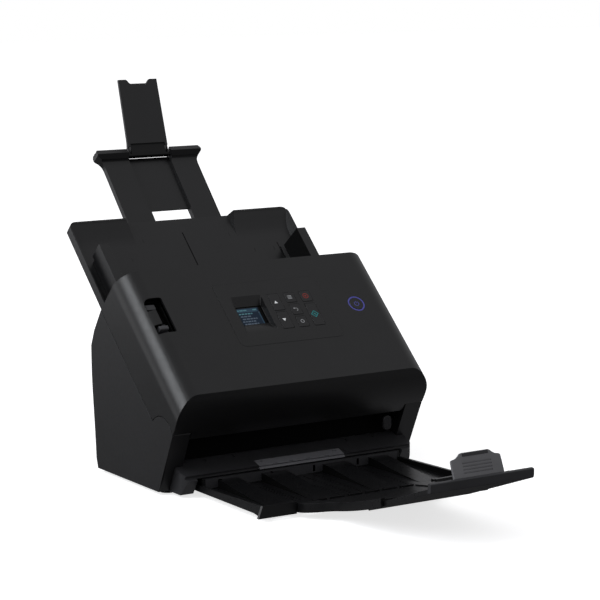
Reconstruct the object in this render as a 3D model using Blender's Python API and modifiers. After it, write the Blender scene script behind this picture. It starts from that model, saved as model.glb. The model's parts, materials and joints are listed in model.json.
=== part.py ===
"""Sheet fed document scanner, modelled as its separate pieces.

Drawing units are millimetres: x to the right seen from the front, y to the
back with y = 0 at the rear foot edge of the body, z up from the table. The
function world() turns a drawing point into Blender's metres and moves y so
that the origin lies under the middle of the opened scanner.
"""
import math

import bmesh
import bpy
from mathutils import Matrix, Vector

# ---------------------------------------------------------------- dimensions
BODY_HALF = 145.5            # half of the body's width
WALL = 3.0                   # side panel thickness
GAP = 0.3                    # room between pieces that touch
Y_SHIFT = 132.0              # drawing y to model y

PANEL_SLOPE = 42.8           # control panel and paper path, from the horizontal
CREASE = (-161.0, 102.5)     # panel's lower edge (y, z)
PANEL_LEN = 152.5            # panel length up its slope
PATH_DEPTH = -57.2           # paper plane below the panel
EDGE_R = 22.0                # rounding of the front unit's long edges
SKIN = 2.6                   # cover wall thickness

HINGE = (-128.0, 55.0)       # front unit's axis (y, z)
EAR_R = 22.6                 # round ear of the side panel about that axis
COLUMN_W = 20.0              # width of the front columns
COLUMN_FOOT = (-121.7, 3.0)

TRAY_SLOPE = 44.0
TRAY_TOP = (82.0, 241.0)     # front edge of the feed tray's top end (y, z)
TRAY_HALF = 132.5
PAPER_N = -8.5               # tray's paper surface below its rim
EXT_SLOPE = 48.0             # tray extension

OPEN_Y = -152.4              # front edge of the exit ledge
EJECT_HALF = 117.0           # half width of the eject tray
EJECT_FRONT = -263.0         # its front bars
EJECT_AXIS = (-259.6, 8.6)   # hinge of the eject extension
STOPPER_AXIS = (-431.8, 60.9)
STOPPER_LEAN = 22.0

# ------------------------------------------------------------------- finishes
FINISHES = {
    "body_black": ((0.020, 0.020, 0.022), 0.48, 0.0),
    "front_black": ((0.012, 0.012, 0.013), 0.42, 0.0),
    "tray_black": ((0.022, 0.022, 0.024), 0.50, 0.0),
    "grip_grey": ((0.060, 0.060, 0.064), 0.45, 0.0),
    "inner_black": ((0.010, 0.010, 0.011), 0.60, 0.0),
    "key_black": ((0.028, 0.028, 0.030), 0.40, 0.0),
    "display": ((0.010, 0.035, 0.090), 0.12, 0.0),
    "ring_blue": ((0.050, 0.090, 0.650), 0.25, 0.0),
    "rubber": ((0.015, 0.015, 0.015), 0.85, 0.0),
    "roller_grey": ((0.180, 0.180, 0.190), 0.80, 0.0),
    "steel": ((0.550, 0.550, 0.560), 0.30, 1.0),
    "glass": ((0.030, 0.040, 0.045), 0.05, 0.0),
    "board_green": ((0.010, 0.090, 0.040), 0.50, 0.0),
    "socket_metal": ((0.450, 0.450, 0.460), 0.35, 1.0),
}


def start_clean():
    for old in list(bpy.data.objects):
        bpy.data.objects.remove(old, do_unlink=True)


start_clean()
PARTS = bpy.data.collections.new("sheet_fed_scanner")
CUTTERS = bpy.data.collections.new("cutters")
AXES = bpy.data.collections.new("joint_axes")
for group in (PARTS, CUTTERS, AXES):
    bpy.context.scene.collection.children.link(group)


# -------------------------------------------------------------------- frames
def world(x, y, z):
    """A drawing point in metres, in the model's frame."""
    return Vector((x, y + Y_SHIFT, z)) * 0.001


def frame(origin, ex, ey):
    """Matrix whose local x and y lie along ex and ey, at a drawing point."""
    ex = Vector(ex).normalized()
    ey = Vector(ey).normalized()
    axes = Matrix((ex, ey, ex.cross(ey))).transposed().to_4x4()
    return Matrix.Translation(world(*origin)) @ axes


def sloped(origin_yz, degrees):
    """Frame on a slope: local x right, y up the slope, z away from it."""
    a = math.radians(degrees)
    return frame((0, *origin_yz), (1, 0, 0), (0, math.cos(a), math.sin(a)))


def on_slope(origin_yz, degrees, s, n):
    """(y, z) of the point s up a slope and n above it."""
    a = math.radians(degrees)
    y = origin_yz[0] + s * math.cos(a) - n * math.sin(a)
    z = origin_yz[1] + s * math.sin(a) + n * math.cos(a)
    return (y, z)


def panel_yz(s, n):
    return on_slope(CREASE, PANEL_SLOPE, s, n)


def tray_yz(s, n):
    return on_slope(TRAY_TOP, TRAY_SLOPE, s, n)


EXT_ORIGIN = tray_yz(0, -12.5)


def ext_yz(s, n):
    return on_slope(EXT_ORIGIN, EXT_SLOPE, s, n)


SIDE = frame((0, 0, 0), (0, 1, 0), (0, 0, 1))      # local z runs to the right
PLAN = frame((0, 0, 0), (1, 0, 0), (0, 1, 0))
PANEL = sloped(CREASE, PANEL_SLOPE)
TRAY = sloped(TRAY_TOP, TRAY_SLOPE)
EXT = sloped(EXT_ORIGIN, EXT_SLOPE)


# ------------------------------------------------------------------ outlines
def arc(cx, cy, radius, first, last, steps):
    """Points on an arc, angles in degrees."""
    out = []
    for i in range(steps + 1):
        a = math.radians(first + (last - first) * i / steps)
        out.append((cx + radius * math.cos(a), cy + radius * math.sin(a)))
    return out


def rounded_rect(x0, x1, y0, y1, radii, steps=5):
    """Rectangle outline; radii for the corners x0y0, x1y0, x1y1, x0y1."""
    corners = ((x0, y0, 1, 1, 180), (x1, y0, -1, 1, 270), (x1, y1, -1, -1, 0), (x0, y1, 1, -1, 90))
    out = []
    for (cx, cy, dx, dy, a), r in zip(corners, radii):
        if r <= 0:
            out.append((cx, cy))
        else:
            out += arc(cx + dx * r, cy + dy * r, r, a, a + 90, steps)
    return out


def hull(points):
    """Convex outline around points, anticlockwise."""
    pts = sorted(set(points))

    def half(seq):
        chain = []
        for p in seq:
            while len(chain) > 1 and turn(chain[-2], chain[-1], p) <= 0:
                chain.pop()
            chain.append(p)
        return chain[:-1]

    return half(pts) + half(pts[::-1])


def turn(a, b, c):
    return (b[0] - a[0]) * (c[1] - a[1]) - (b[1] - a[1]) * (c[0] - a[0])


def loop_round(circles, grow, steps=18):
    """Outline of a belt round circles given as (y, z, radius)."""
    points = []
    for y, z, r in circles:
        points += arc(y, z, r + grow, 0, 360 - 360 / steps, steps - 1)
    return hull(points)


def front_face_y(z):
    """y of the leaning front face at height z."""
    lean = max(0.0, 97.0 - z)
    return CREASE[0] - 0.2 + 0.01034 * lean * lean


def column_face_y(z):
    return COLUMN_FOOT[0] - (z - COLUMN_FOOT[1]) * 0.4606


# -------------------------------------------------------------------- solids
def new_object(name, mesh, matrix, collection=PARTS):
    ob = bpy.data.objects.new(name, mesh)
    collection.objects.link(ob)
    ob.matrix_world = matrix
    return ob


def slab(name, outline, z0, z1, matrix):
    """Flat outline in local x and y, from local z0 to z1."""
    curve = bpy.data.curves.new(name, "CURVE")
    curve.dimensions = "2D"
    curve.fill_mode = "BOTH"
    curve.extrude = (z1 - z0) * 0.0005
    spline = curve.splines.new("POLY")
    spline.points.add(len(outline) - 1)
    for point, (x, y) in zip(spline.points, outline):
        point.co = (x * 0.001, y * 0.001, 0.0, 1.0)
    spline.use_cyclic_u = True
    drawn = bpy.data.objects.new(name + "_outline", curve)
    CUTTERS.objects.link(drawn)
    bpy.context.view_layer.update()
    seen = drawn.evaluated_get(bpy.context.evaluated_depsgraph_get())
    mesh = bpy.data.meshes.new_from_object(seen)
    bpy.data.objects.remove(drawn, do_unlink=True)
    bm = bmesh.new()
    bm.from_mesh(mesh)
    bmesh.ops.remove_doubles(bm, verts=bm.verts, dist=1e-6)
    bmesh.ops.recalc_face_normals(bm, faces=bm.faces)
    bm.to_mesh(mesh)
    bm.free()
    return new_object(name, mesh, matrix @ Matrix.Translation((0, 0, (z0 + z1) * 0.0005)))


def box(name, xs, ys, zs, matrix=PLAN):
    mesh = bpy.data.meshes.new(name)
    bm = bmesh.new()
    bmesh.ops.create_cube(bm, size=1.0)
    size = Matrix.Diagonal([(b - a) * 0.001 for a, b in (xs, ys, zs)]).to_4x4()
    centre = Matrix.Translation([(a + b) * 0.0005 for a, b in (xs, ys, zs)])
    bmesh.ops.transform(bm, matrix=centre @ size, verts=bm.verts)
    bm.to_mesh(mesh)
    bm.free()
    return new_object(name, mesh, matrix)


def rod(name, radius, x0, x1, centre, segments=24):
    """Cylinder along x round a (y, z) centre."""
    mesh = bpy.data.meshes.new(name)
    bm = bmesh.new()
    bmesh.ops.create_cone(bm, cap_ends=True, segments=segments, radius1=radius * 0.001,
                          radius2=radius * 0.001, depth=(x1 - x0) * 0.001)
    bm.to_mesh(mesh)
    bm.free()
    matrix = frame(((x0 + x1) / 2, *centre), (0, 1, 0), (0, 0, 1))
    return new_object(name, mesh, matrix)


def turned(name, profile, matrix, steps=20, closed=False):
    """Turned body: profile of (height, radius) from its top down, about local z."""
    mesh = bpy.data.meshes.new(name)
    bm = bmesh.new()
    line = [bm.verts.new((r * 0.001, 0, h * 0.001)) for h, r in profile]
    ends = line[1:] + line[:1] if closed else line[1:]
    for a, b in zip(line, ends):
        bm.edges.new((a, b))
    bm.to_mesh(mesh)
    bm.free()
    ob = new_object(name, mesh, matrix)
    screw = ob.modifiers.new("turn", "SCREW")
    screw.axis = "Z"
    screw.steps = steps
    screw.render_steps = steps
    screw.use_merge_vertices = True
    screw.merge_threshold = 1e-6
    return ob


def shaft(name, centre, pieces, steps=20):
    """Stepped shaft along x: pieces of (x start, x end, radius), left to right."""
    profile = []
    for x0, x1, r in reversed(pieces):
        profile += [(x1, r), (x0, r)]
    profile = [(profile[0][0], 0.0)] + profile + [(profile[-1][0], 0.0)]
    return turned(name, profile, frame((0, *centre), (0, 1, 0), (0, 0, 1)), steps)


def as_tool(ob):
    """Hide an object that only shapes another."""
    for group in list(ob.users_collection):
        group.objects.unlink(ob)
    CUTTERS.objects.link(ob)
    ob.hide_render = True
    ob.display_type = "WIRE"
    return ob


def boolean(ob, other, operation):
    step = ob.modifiers.new(other.name, "BOOLEAN")
    step.operation = operation
    step.solver = "EXACT"
    step.object = as_tool(other)
    return ob


def cut(ob, *tools):
    for tool in tools:
        boolean(ob, tool, "DIFFERENCE")
    return ob


def fuse(ob, *others):
    for other in others:
        boolean(ob, other, "UNION")
    return ob


def bevel(ob, width, segments=2):
    step = ob.modifiers.new("edge", "BEVEL")
    step.width = width * 0.001
    step.segments = segments
    step.limit_method = "ANGLE"
    step.angle_limit = math.radians(40)
    return ob


def finish(ob, kind):
    """Give a piece its own material."""
    colour, roughness, metallic = FINISHES[kind]
    mat = bpy.data.materials.new(f"{ob.name}_{kind}")
    mat.use_nodes = True
    shader = mat.node_tree.nodes["Principled BSDF"]
    shader.inputs["Base Color"].default_value = (*colour, 1.0)
    shader.inputs["Roughness"].default_value = roughness
    shader.inputs["Metallic"].default_value = metallic
    ob.data.materials.append(mat)
    return ob


def joint_axis(name, point, pieces, parent=None):
    """Empty on a joint's axis, holding the pieces that move with it."""
    empty = bpy.data.objects.new(name, None)
    AXES.objects.link(empty)
    empty.empty_display_size = 0.02
    empty.matrix_world = Matrix.Translation(world(*point))
    if parent:
        hold(empty, parent)
    for piece in pieces:
        hold(piece, empty)
    return empty


def hold(child, parent):
    bpy.context.view_layer.update()
    child.parent = parent
    child.matrix_parent_inverse = parent.matrix_world.inverted()


def both_sides(x0, x1):
    return ((-1, -x1, -x0), (1, x0, x1))


# ---------------------------------------------------------------- base body
def ear_arc(radius, steps=12):
    return arc(*HINGE, radius, PANEL_SLOPE, 160.0, steps)


def make_side_panel(name, sign):
    rear = [(0, 3), (2.9, 12.7), (5.2, 41), (10, 91), (11, 126), (4.3, 142)]
    outline = [COLUMN_FOOT] + rear + [panel_yz(PANEL_LEN, PATH_DEPTH)] + ear_arc(EAR_R)
    column = [COLUMN_FOOT, (-112.4, 3), (-112.4, 69)] + ear_arc(EAR_R)
    inner = BODY_HALF - WALL
    lo, hi = sorted((sign * inner, sign * BODY_HALF))
    panel = slab(name, outline, lo, hi, SIDE)
    lo, hi = sorted((sign * (BODY_HALF - COLUMN_W), sign * (BODY_HALF - 0.5)))
    fuse(panel, slab(name + "_column", column, lo, hi, SIDE))
    lo, hi = sorted((sign * 119.2, sign * 130))
    fuse(panel, rod(name + "_pivot", 5.0, lo, hi, HINGE))
    return finish(panel, "body_black")


def make_rear_cover():
    outer = [(-0.6, 3.2), (2.6, 13), (4.9, 41), (9.6, 91), (10.6, 126), (4.6, 140.6)]
    inner = [(1.9, 140.0), (8.0, 125.3), (7.1, 91.3), (2.4, 41.4), (0.1, 13.6), (-3.0, 3.2)]
    cover = slab("rear_cover", outer + inner, -142.2, 142.2, SIDE)
    cut(cover, box("housing_room", (-120.4, 120.4), (-8, 20), (128.4, 150)))
    for name, x, half, z0, z1 in (("dc", -104, 6.4, 33.6, 46.4), ("usb", -76, 7.4, 33.6, 47.4),
                                  ("lan", -46, 9.0, 33.6, 49.4)):
        cut(cover, box(name + "_window", (x - half, x + half), (-8, 14), (z0, z1)))
    for i in range(9):
        x = 30 + 10 * i
        cut(cover, box(f"vent_{i}", (x - 1.8, x + 1.8), (-8, 24), (60, 92)))
    return finish(cover, "body_black")


def make_base_tub():
    tub = box("base_tub", (-142.2, 142.2), (-111.6, -3.4), (2.6, 20.2))
    fuse(tub, box("tub_front", (-125.2, 125.2), (-121.5, -100), (2.6, 20.2)))
    cut(tub, box("tray_pocket", (-119.6, 119.6), (-130, -9), (4.4, 18.4)))
    return finish(tub, "inner_black")


def make_exit_ledge():
    outline = [(-121.9, 31.6), (-126, 31.0), (-150.8, 21.4), (-152.2, 20.5), (-152.9, 19.3),
               (-152.6, 17.5), (-143.4, 2.8), (-121.9, 2.8)]
    ledge = slab("exit_ledge", outline, -134, 134, SIDE)
    behind = [(column_face_y(-5) - 0.45, -5), (column_face_y(70) - 0.45, 70), (-90, 70), (-90, -5)]
    for sign, lo, hi in both_sides(125.2, 150):
        cut(ledge, slab(f"column_room_{sign}", behind, lo, hi, SIDE))
    plan = rounded_rect(-134, 134, -153.5, -100, (12, 12, 0, 0))
    boolean(ledge, slab("ledge_plan", plan, -5, 40, PLAN), "INTERSECT")
    cut(ledge, box("tray_mouth", (-119.6, 119.6), (-170, -110), (-6, 18.4)))
    recess = [(-139.6, 24.2), (-150.4, 19.9), (-151.2, 19.0), (-151.3, 17.0), (-156, 17.0), (-156, 32), (-139.6, 32)]
    cut(ledge, slab("grip_recess", recess, -49.6, 50.6, SIDE))
    return finish(ledge, "body_black")


def make_grip():
    """Light insert that wraps over the ledge's nose."""
    outline = [(-140.2, 25.3), (-150.7, 21.2), (-152.1, 20.4), (-152.7, 19.3), (-152.5, 18.6),
               (-151.5, 18.6), (-151.4, 19.2), (-150.6, 20.1), (-139.9, 24.4)]
    return finish(slab("ledge_grip", outline, -49.2, 50.2, SIDE), "grip_grey")


def make_feet():
    feet = []
    for name, x, y in (("foot_front_left", -130, -112), ("foot_front_right", 130, -112),
                       ("foot_rear_left", -128, -18), ("foot_rear_right", 128, -18)):
        foot = turned(name, [(2.3, 0), (2.3, 8), (0.4, 8), (0, 7.4), (0, 0)],
                      frame((x, y, 0), (1, 0, 0), (0, 1, 0)), 16)
        feet.append(finish(foot, "rubber"))
    return feet


# -------------------------------------------------------------- paper path
FEED = (95.0, -73.5, 15.0)      # rollers: distance up the path, depth, radius
DRIVE = (70.0, -66.5, 8.0)
EXIT = (14.0, -66.5, 8.0)
GUIDE_HALF = 119.0
FEED_YZ = panel_yz(FEED[0], FEED[1])
DRIVE_YZ = panel_yz(DRIVE[0], DRIVE[1])
EXIT_YZ = panel_yz(EXIT[0], EXIT[1])
MOTOR_YZ = (-62.0, 45.0)
FEED_PULLEY, MOTOR_PULLEY = 10.0, 5.0
SIDE_PULLEY, DRIVE_PULLEY = 8.0, 4.3


def make_lower_guide():
    outline = [panel_yz(146, -73), panel_yz(100, -60), panel_yz(-6, -60), (-124.6, 32.2),
               (-122.6, 32.2), (-122.6, 53.0), panel_yz(-4.0, -62.0), panel_yz(100, -62),
               panel_yz(146, -75)]
    guide = slab("lower_paper_guide", outline, -GUIDE_HALF, GUIDE_HALF, SIDE)
    windows = [("feed", FEED, 11.5, 4, 36), ("drive", DRIVE, 7.6, 44, 76), ("exit", EXIT, 7.6, 39, 71)]
    for name, (s, _, _), reach, x0, x1 in windows:
        for sign, lo, hi in both_sides(x0, x1):
            cut(guide, box(f"{name}_window_{sign}", (lo, hi), (s - reach, s + reach), (-66, -55), PANEL))
    cut(guide, box("glass_window", (-112, 112), (34, 52), (-66, -55), PANEL))
    for sign, lo, hi in both_sides(118, 142.2):
        fuse(guide, box(f"lower_wing_{sign}", (lo, hi), (26, 128), (-60.9, -58.6), PANEL))
        cut(guide, box(f"belt_room_{sign}", (lo + 1.2, hi - 2), (24, 126), (-63, -60.0), PANEL))
    return finish(guide, "inner_black")


def make_scan_heads():
    glass = finish(box("lower_scan_glass", (-111.6, 111.6), (34.4, 51.6), (-61.8, -60.2), PANEL), "glass")
    bar = finish(box("lower_image_sensor", (-114, 114), (34, 52), (-80, -62.5), PANEL), "inner_black")
    top_glass = box("upper_scan_glass", (-111.6, 111.6), (28.4, 45.6), (-55.3, -53.7), PANEL)
    top_bar = box("upper_image_sensor", (-114, 114), (28, 46), (-53.2, -38), PANEL)
    return glass, bar, finish(top_glass, "glass"), finish(top_bar, "inner_black")


def make_rollers():
    feed = shaft("feed_roller", FEED_YZ, [(-140, -138, 3), (-138, -132, FEED_PULLEY), (-132, -35, 3),
                                          (-35, -5, 15), (-5, 5, 3), (5, 35, 15), (35, 132, 3),
                                          (132, 138, SIDE_PULLEY), (138, 140, 3)], 24)
    drive = shaft("drive_roller", DRIVE_YZ, [(-131, -75, 3), (-75, -45, 8), (-45, 45, 3), (45, 75, 8),
                                             (75, 132, 3), (132, 138, DRIVE_PULLEY), (138, 140, 3)])
    out = shaft("eject_roller", EXIT_YZ, [(-131, -70, 3), (-70, -40, 8), (-40, 40, 3), (40, 70, 8),
                                          (70, 132, 3), (132, 138, DRIVE_PULLEY), (138, 140, 3)])
    for roller in (feed, drive, out):
        finish(roller, "roller_grey")
    return feed, drive, out


def make_belt(name, circles, x0, x1):
    belt = slab(name, loop_round(circles, 1.9), x0, x1, SIDE)
    cut(belt, slab(name + "_inside", loop_round(circles, 0.5), x0 - 1, x1 + 1, SIDE))
    return finish(belt, "rubber")


def make_frame_plate(name, sign):
    outline = [(-110.8, 20.6), (-6, 20.6), (-6, 110), (-20, 127), panel_yz(100, -62.6), panel_yz(11, -62.6)]
    lo, hi = sorted((sign * 127.0, sign * 129.0))
    plate = slab(name, outline, lo, hi, SIDE)
    holes = [FEED_YZ, DRIVE_YZ, EXIT_YZ]
    if sign < 0:
        holes.append(MOTOR_YZ)
    for i, centre in enumerate(holes):
        cut(plate, rod(f"{name}_hole_{i}", 3.4, lo - 1, hi + 1, centre, 16))
    return finish(plate, "steel")


def make_drive():
    motor = turned("motor", [(-94, 0), (-94, 16), (-124.6, 16), (-124.6, 0)],
                   frame((0, *MOTOR_YZ), (0, 1, 0), (0, 0, 1)), 24)
    finish(motor, "steel")
    motor_shaft = shaft("motor_shaft", MOTOR_YZ, [(-140, -138, 3), (-138, -132, MOTOR_PULLEY),
                                                  (-132, -125.0, 3)])
    finish(motor_shaft, "steel")
    return motor, motor_shaft


def make_electronics():
    board = finish(box("main_board", (-124, 60), (-9.0, -7.4), (26, 100)), "board_green")
    dc = turned("dc_inlet", [(7, 0), (7, 5.5), (-5, 5.5), (-5, 4), (5, 4), (5, 1.2), (-4, 1.2), (-4, 0)],
                frame((-104, -2, 40), (0, 0, 1), (1, 0, 0)), 16)
    finish(dc, "inner_black")
    sockets = [dc]
    for name, x, half, z0, z1 in (("usb_socket", -76, 6.0, 34.6, 46.4), ("lan_socket", -46, 8.0, 34.6, 48.4)):
        shell = box(name, (x - half, x + half), (-6.6, 3.0), (z0, z1))
        cut(shell, box(name + "_mouth", (x - half + 1.2, x + half - 1.2), (-3, 6), (z0 + 1.2, z1 - 1.2)))
        sockets.append(finish(shell, "socket_metal"))
    return [board] + sockets


# -------------------------------------------------------------- front unit
def cover_block(name, inset):
    """Front unit's outer block, or its inside when inset by the wall."""
    half = BODY_HALF - inset
    r = EDGE_R - inset
    top = -inset
    section = [(-half, -80), (half, -80)]
    section += arc(half - r, top - r, r, 0, 90, 8)
    section += arc(-half + r, top - r, r, 90, 180, 8)
    across = frame((0, *CREASE), (1, 0, 0), (0, -math.sin(math.radians(PANEL_SLOPE)),
                                             math.cos(math.radians(PANEL_SLOPE))))
    return slab(name, section, -(PANEL_LEN - inset), 80, across)


def cover_profile(inset, low):
    """Side profile of the front unit; low is how deep it reaches."""
    heights = [102.5 - i * (102.5 - 56.0) / 10 for i in range(11)]
    face = [(front_face_y(z) + inset, z) for z in heights]
    if inset:
        face = [panel_yz(30, 20), (face[0][0], 140)] + face + [(front_face_y(56) + inset, 50)]
        end = [panel_yz(PANEL_LEN + 20, 20)]
    else:
        end = [panel_yz(PANEL_LEN, 0)]
    return end + face + [panel_yz(-3, low), panel_yz(PANEL_LEN if not inset else PANEL_LEN + 20, low)]


LEVER_SLOT = (-133.6, -114.0, 75.6, 118.2)
BEZEL = (-53.0, 68.0, 48.5, 126.0)
POWER = (100.5, 86.3)


def make_front_cover():
    cover = cover_block("front_cover", 0.0)
    boolean(cover, slab("cover_profile", cover_profile(0.0, -56.7), -160, 160, SIDE), "INTERSECT")
    inside = cover_block("cover_inside", SKIN)
    boolean(inside, slab("inside_profile", cover_profile(SKIN, -75), -160, 160, SIDE), "INTERSECT")
    cut(cover, inside)
    for sign, lo, hi in both_sides(124.2, 150):
        cut(cover, rod(f"ear_room_{sign}", EAR_R + 0.4, lo, hi, HINGE, 48))
    x0, x1, y0, y1 = LEVER_SLOT
    cut(cover, slab("lever_slot", rounded_rect(x0, x1, y0, y1, (1.5, 1.5, 2.5, 6.0)), -12, 6, PANEL))
    x0, x1, y0, y1 = BEZEL
    hole = rounded_rect(x0 - 0.4, x1 + 0.4, y0 - 0.4, y1 + 0.4, (7.4, 7.4, 3.4, 3.4))
    cut(cover, slab("bezel_hole", hole, -12, 6, PANEL))
    cut(cover, slab("power_hole", arc(*POWER, 9.7, 0, 345, 23), -12, 6, PANEL))
    return finish(cover, "front_black")


KEYS = {
    "key_up": (3.2, 15.6, 87.9, 108.6),
    "key_down": (3.2, 15.6, 64.9, 85.6),
    "key_menu": (22.2, 33.6, 96.2, 108.6),
    "key_back": (22.2, 33.6, 80.6, 93.6),
    "key_ok": (22.2, 33.6, 64.9, 78.0),
    "key_stop": (40.2, 52.4, 95.4, 108.6),
    "key_start": (40.2, 52.4, 64.9, 92.6),
}
WINDOW = (-39.8, -2.6, 64.4, 109.6)     # mouth of the display's funnel
SCREEN_WINDOW = (-34.4, -5.2, 78.6, 100.8)


def funnel_mesh(name):
    """Window that narrows from the bezel's face to the display."""
    mesh = bpy.data.meshes.new(name)
    bm = bmesh.new()
    rings = []
    for (x0, x1, y0, y1), z in ((SCREEN_WINDOW, -9.0), (SCREEN_WINDOW, -6.3), (WINDOW, 0.0), (WINDOW, 3.0)):
        corners = ((x0, y0), (x1, y0), (x1, y1), (x0, y1))
        rings.append([bm.verts.new((x * 0.001, y * 0.001, z * 0.001)) for x, y in corners])
    for low, high in zip(rings, rings[1:]):
        for i in range(4):
            j = (i + 1) % 4
            bm.faces.new((low[i], low[j], high[j], high[i]))
    bm.faces.new(rings[0][::-1])
    bm.faces.new(rings[-1])
    bm.to_mesh(mesh)
    bm.free()
    return new_object(name, mesh, PANEL)


def make_controls():
    x0, x1, y0, y1 = BEZEL
    bezel = slab("control_bezel", rounded_rect(x0, x1, y0, y1, (7, 7, 3, 3)), -5.0, 0.0, PANEL)
    fuse(bezel, box("display_collar", (-41, -1), (63, 111), (-6.4, -4.0), PANEL))
    cut(bezel, funnel_mesh("display_funnel"))
    keys = []
    for name, (kx0, kx1, ky0, ky1) in KEYS.items():
        hole = (kx0 - 0.4, kx1 + 0.4)
        cut(bezel, box(name + "_hole", hole, (ky0 - 0.4, ky1 + 0.4), (-9, 4), PANEL))
        key = slab(name, rounded_rect(kx0, kx1, ky0, ky1, (1.2, 1.2, 1.2, 1.2), 2), -6.5, 0.3, PANEL)
        keys.append(finish(key, "key_black"))
    finish(bezel, "front_black")
    screen = finish(box("display", (-37.2, -3.4), (76, 103.2), (-9.0, -6.8), PANEL), "display")
    board = finish(box("panel_board", (-50, 65), (52, 122), (-11.4, -9.8), PANEL), "board_green")
    place = frame((POWER[0], *panel_yz(POWER[1], 0)), (1, 0, 0), PANEL.to_3x3() @ Vector((0, 1, 0)))
    ring = turned("power_ring", [(-5, 8.0), (0.2, 8.0), (0.2, 9.3), (-5, 9.3)], place, 32, closed=True)
    finish(ring, "ring_blue")
    power = turned("power_button", [(0.3, 0), (0.3, 7.2), (-0.1, 7.6), (-6, 7.6), (-6, 0)], place, 32)
    keys.append(finish(power, "key_black"))
    return bezel, screen, board, ring, keys


def make_lever():
    pocket = box("lever_pocket", (-134.8, -112.8), (74.4, 119.6), (-14.5, -6.6), PANEL)
    x0, x1, y0, y1 = LEVER_SLOT
    cut(pocket, box("pocket_room", (x0, x1), (y0, y1), (-13.0, 0), PANEL))
    finish(pocket, "inner_black")
    lever = box("open_lever", (-129.5, -119.8), (80.4, 86.0), (-12.4, -1.4), PANEL)
    fuse(lever, box("lever_stem", (-122.0, -117.6), (81.0, 91.0), (-12.0, -8.0), PANEL))
    return pocket, finish(lever, "grip_grey")


def make_inner_guide():
    outline = [panel_yz(149.2, -55.6), panel_yz(-3, -55.6), (front_face_y(58.6) + SKIN + 0.5, 58.6),
               (front_face_y(60.6) + SKIN + 0.5, 60.6), panel_yz(-2, -53.6), panel_yz(149.2, -53.6)]
    guide = slab("inner_paper_guide", outline, -118.8, 118.8, SIDE)
    windows = [("separator", SEPARATOR, 10.0, 10, 30), ("pinch", PINCH, 6.4, 44, 76), ("top_exit", TOP_EXIT, 6.4, 39, 71)]
    for name, (s, _, _), reach, x0, x1 in windows:
        for sign, lo, hi in both_sides(x0, x1):
            cut(guide, box(f"{name}_opening_{sign}", (lo, hi), (s - reach, s + reach), (-60, -50), PANEL))
    cut(guide, box("top_glass_window", (-112, 112), (28, 46), (-60, -50), PANEL))
    for sign, lo, hi in both_sides(119.6, 123.6):
        fuse(guide, hinge_arm(f"hinge_arm_{sign}", lo, hi))
        lo, hi = sorted((sign * 118, sign * 121))
        fuse(guide, box(f"arm_flange_{sign}", (lo, hi), (12, 26), (-55.3, -53.9), PANEL))
        lo, hi = sorted((sign * 118, sign * 141.8))
        fuse(guide, box(f"upper_wing_{sign}", (lo, hi), (26, 148), (-55.3, -53.9), PANEL))
    return finish(guide, "inner_black")


def hinge_arm(name, lo, hi):
    """Arm from the paper guide down to the body's pivot."""
    arm = slab(name, loop_round([(*HINGE, 9.0), (*panel_yz(40, -47), 5.5)], 0.0, 24), lo, hi, SIDE)
    return cut(arm, rod(name + "_bore", 5.3, lo - 1, hi + 1, HINGE))


SEPARATOR = (95.0, -44.6, 12.0)
PINCH = (70.0, -51.0, 6.0)
TOP_EXIT = (14.0, -51.0, 6.0)


def make_upper_rollers():
    sep = shaft("separation_roller", panel_yz(*SEPARATOR[:2]), [(-40, -28, 3), (-28, -12, 12), (-12, 12, 3),
                                                                (12, 28, 12), (28, 40, 3)], 24)
    pinch = shaft("pinch_roller", panel_yz(*PINCH[:2]), [(-90, -74, 2.5), (-74, -46, 6), (-46, 46, 2.5),
                                                         (46, 74, 6), (74, 90, 2.5)])
    top = shaft("upper_eject_roller", panel_yz(*TOP_EXIT[:2]), [(-90, -69, 2.5), (-69, -41, 6),
                                                                (-41, 41, 2.5), (41, 69, 6), (69, 90, 2.5)])
    return [finish(ob, "roller_grey") for ob in (sep, pinch, top)]


# --------------------------------------------------------------- feed tray
RACK_S = -84.0               # guide pinion's place down the tray
PINION_R = 5.5


def make_feed_tray():
    plan = rounded_rect(-TRAY_HALF, TRAY_HALF, -121, 0, (3, 3, 8.5, 8.5))
    tray = slab("feed_tray", plan, -12.0, 0.0, TRAY)
    ramp = [(-130, PAPER_N), (-42, PAPER_N), (-32, -7.9), (-22, -5.8), (-12, -2.8), (-2, -0.4), (-1, 1)]
    dish = slab("tray_dish", [tray_yz(s, n) for s, n in ramp + [(-1, 8), (-130, 8)]], -132, 132, SIDE)
    down = frame((0, *TRAY_TOP), (1, 0, 0), TRAY.to_3x3() @ Vector((0, 0, 1)))
    walls = [(-126, -10), (126, -10), (126, PAPER_N), (131.5, 1), (131.5, 10), (-131.5, 10), (-131.5, 1),
             (-126, PAPER_N)]
    boolean(dish, slab("tray_walls", walls, -2, 132, down), "INTERSECT")
    cut(tray, dish)
    notch = [(-67.2, 1), (-61, PAPER_N), (61, PAPER_N), (67.2, 1), (67.2, 8), (-67.2, 8)]
    cut(tray, slab("tray_notch", notch, -6, 60, down))
    cut(tray, box("tray_underside", (-116, 116), (-118.5, 6), (-20, PAPER_N - 1.8), TRAY))
    for sign in (-1, 1):
        wedge = [(sign * 129, -12.6), (sign * 134, -12.6), (sign * 134, -8.0)]
        cut(tray, slab(f"rim_chamfer_{sign}", wedge, -8, 130, down))
        x0, x1 = sorted((sign * 34, sign * 119))
        s = RACK_S - sign * 8.0
        cut(tray, box(f"rack_slot_{sign}", (x0, x1), (s - 2.3, s + 2.3), (-14, -4), TRAY))
    return finish(tray, "tray_black")


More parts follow.
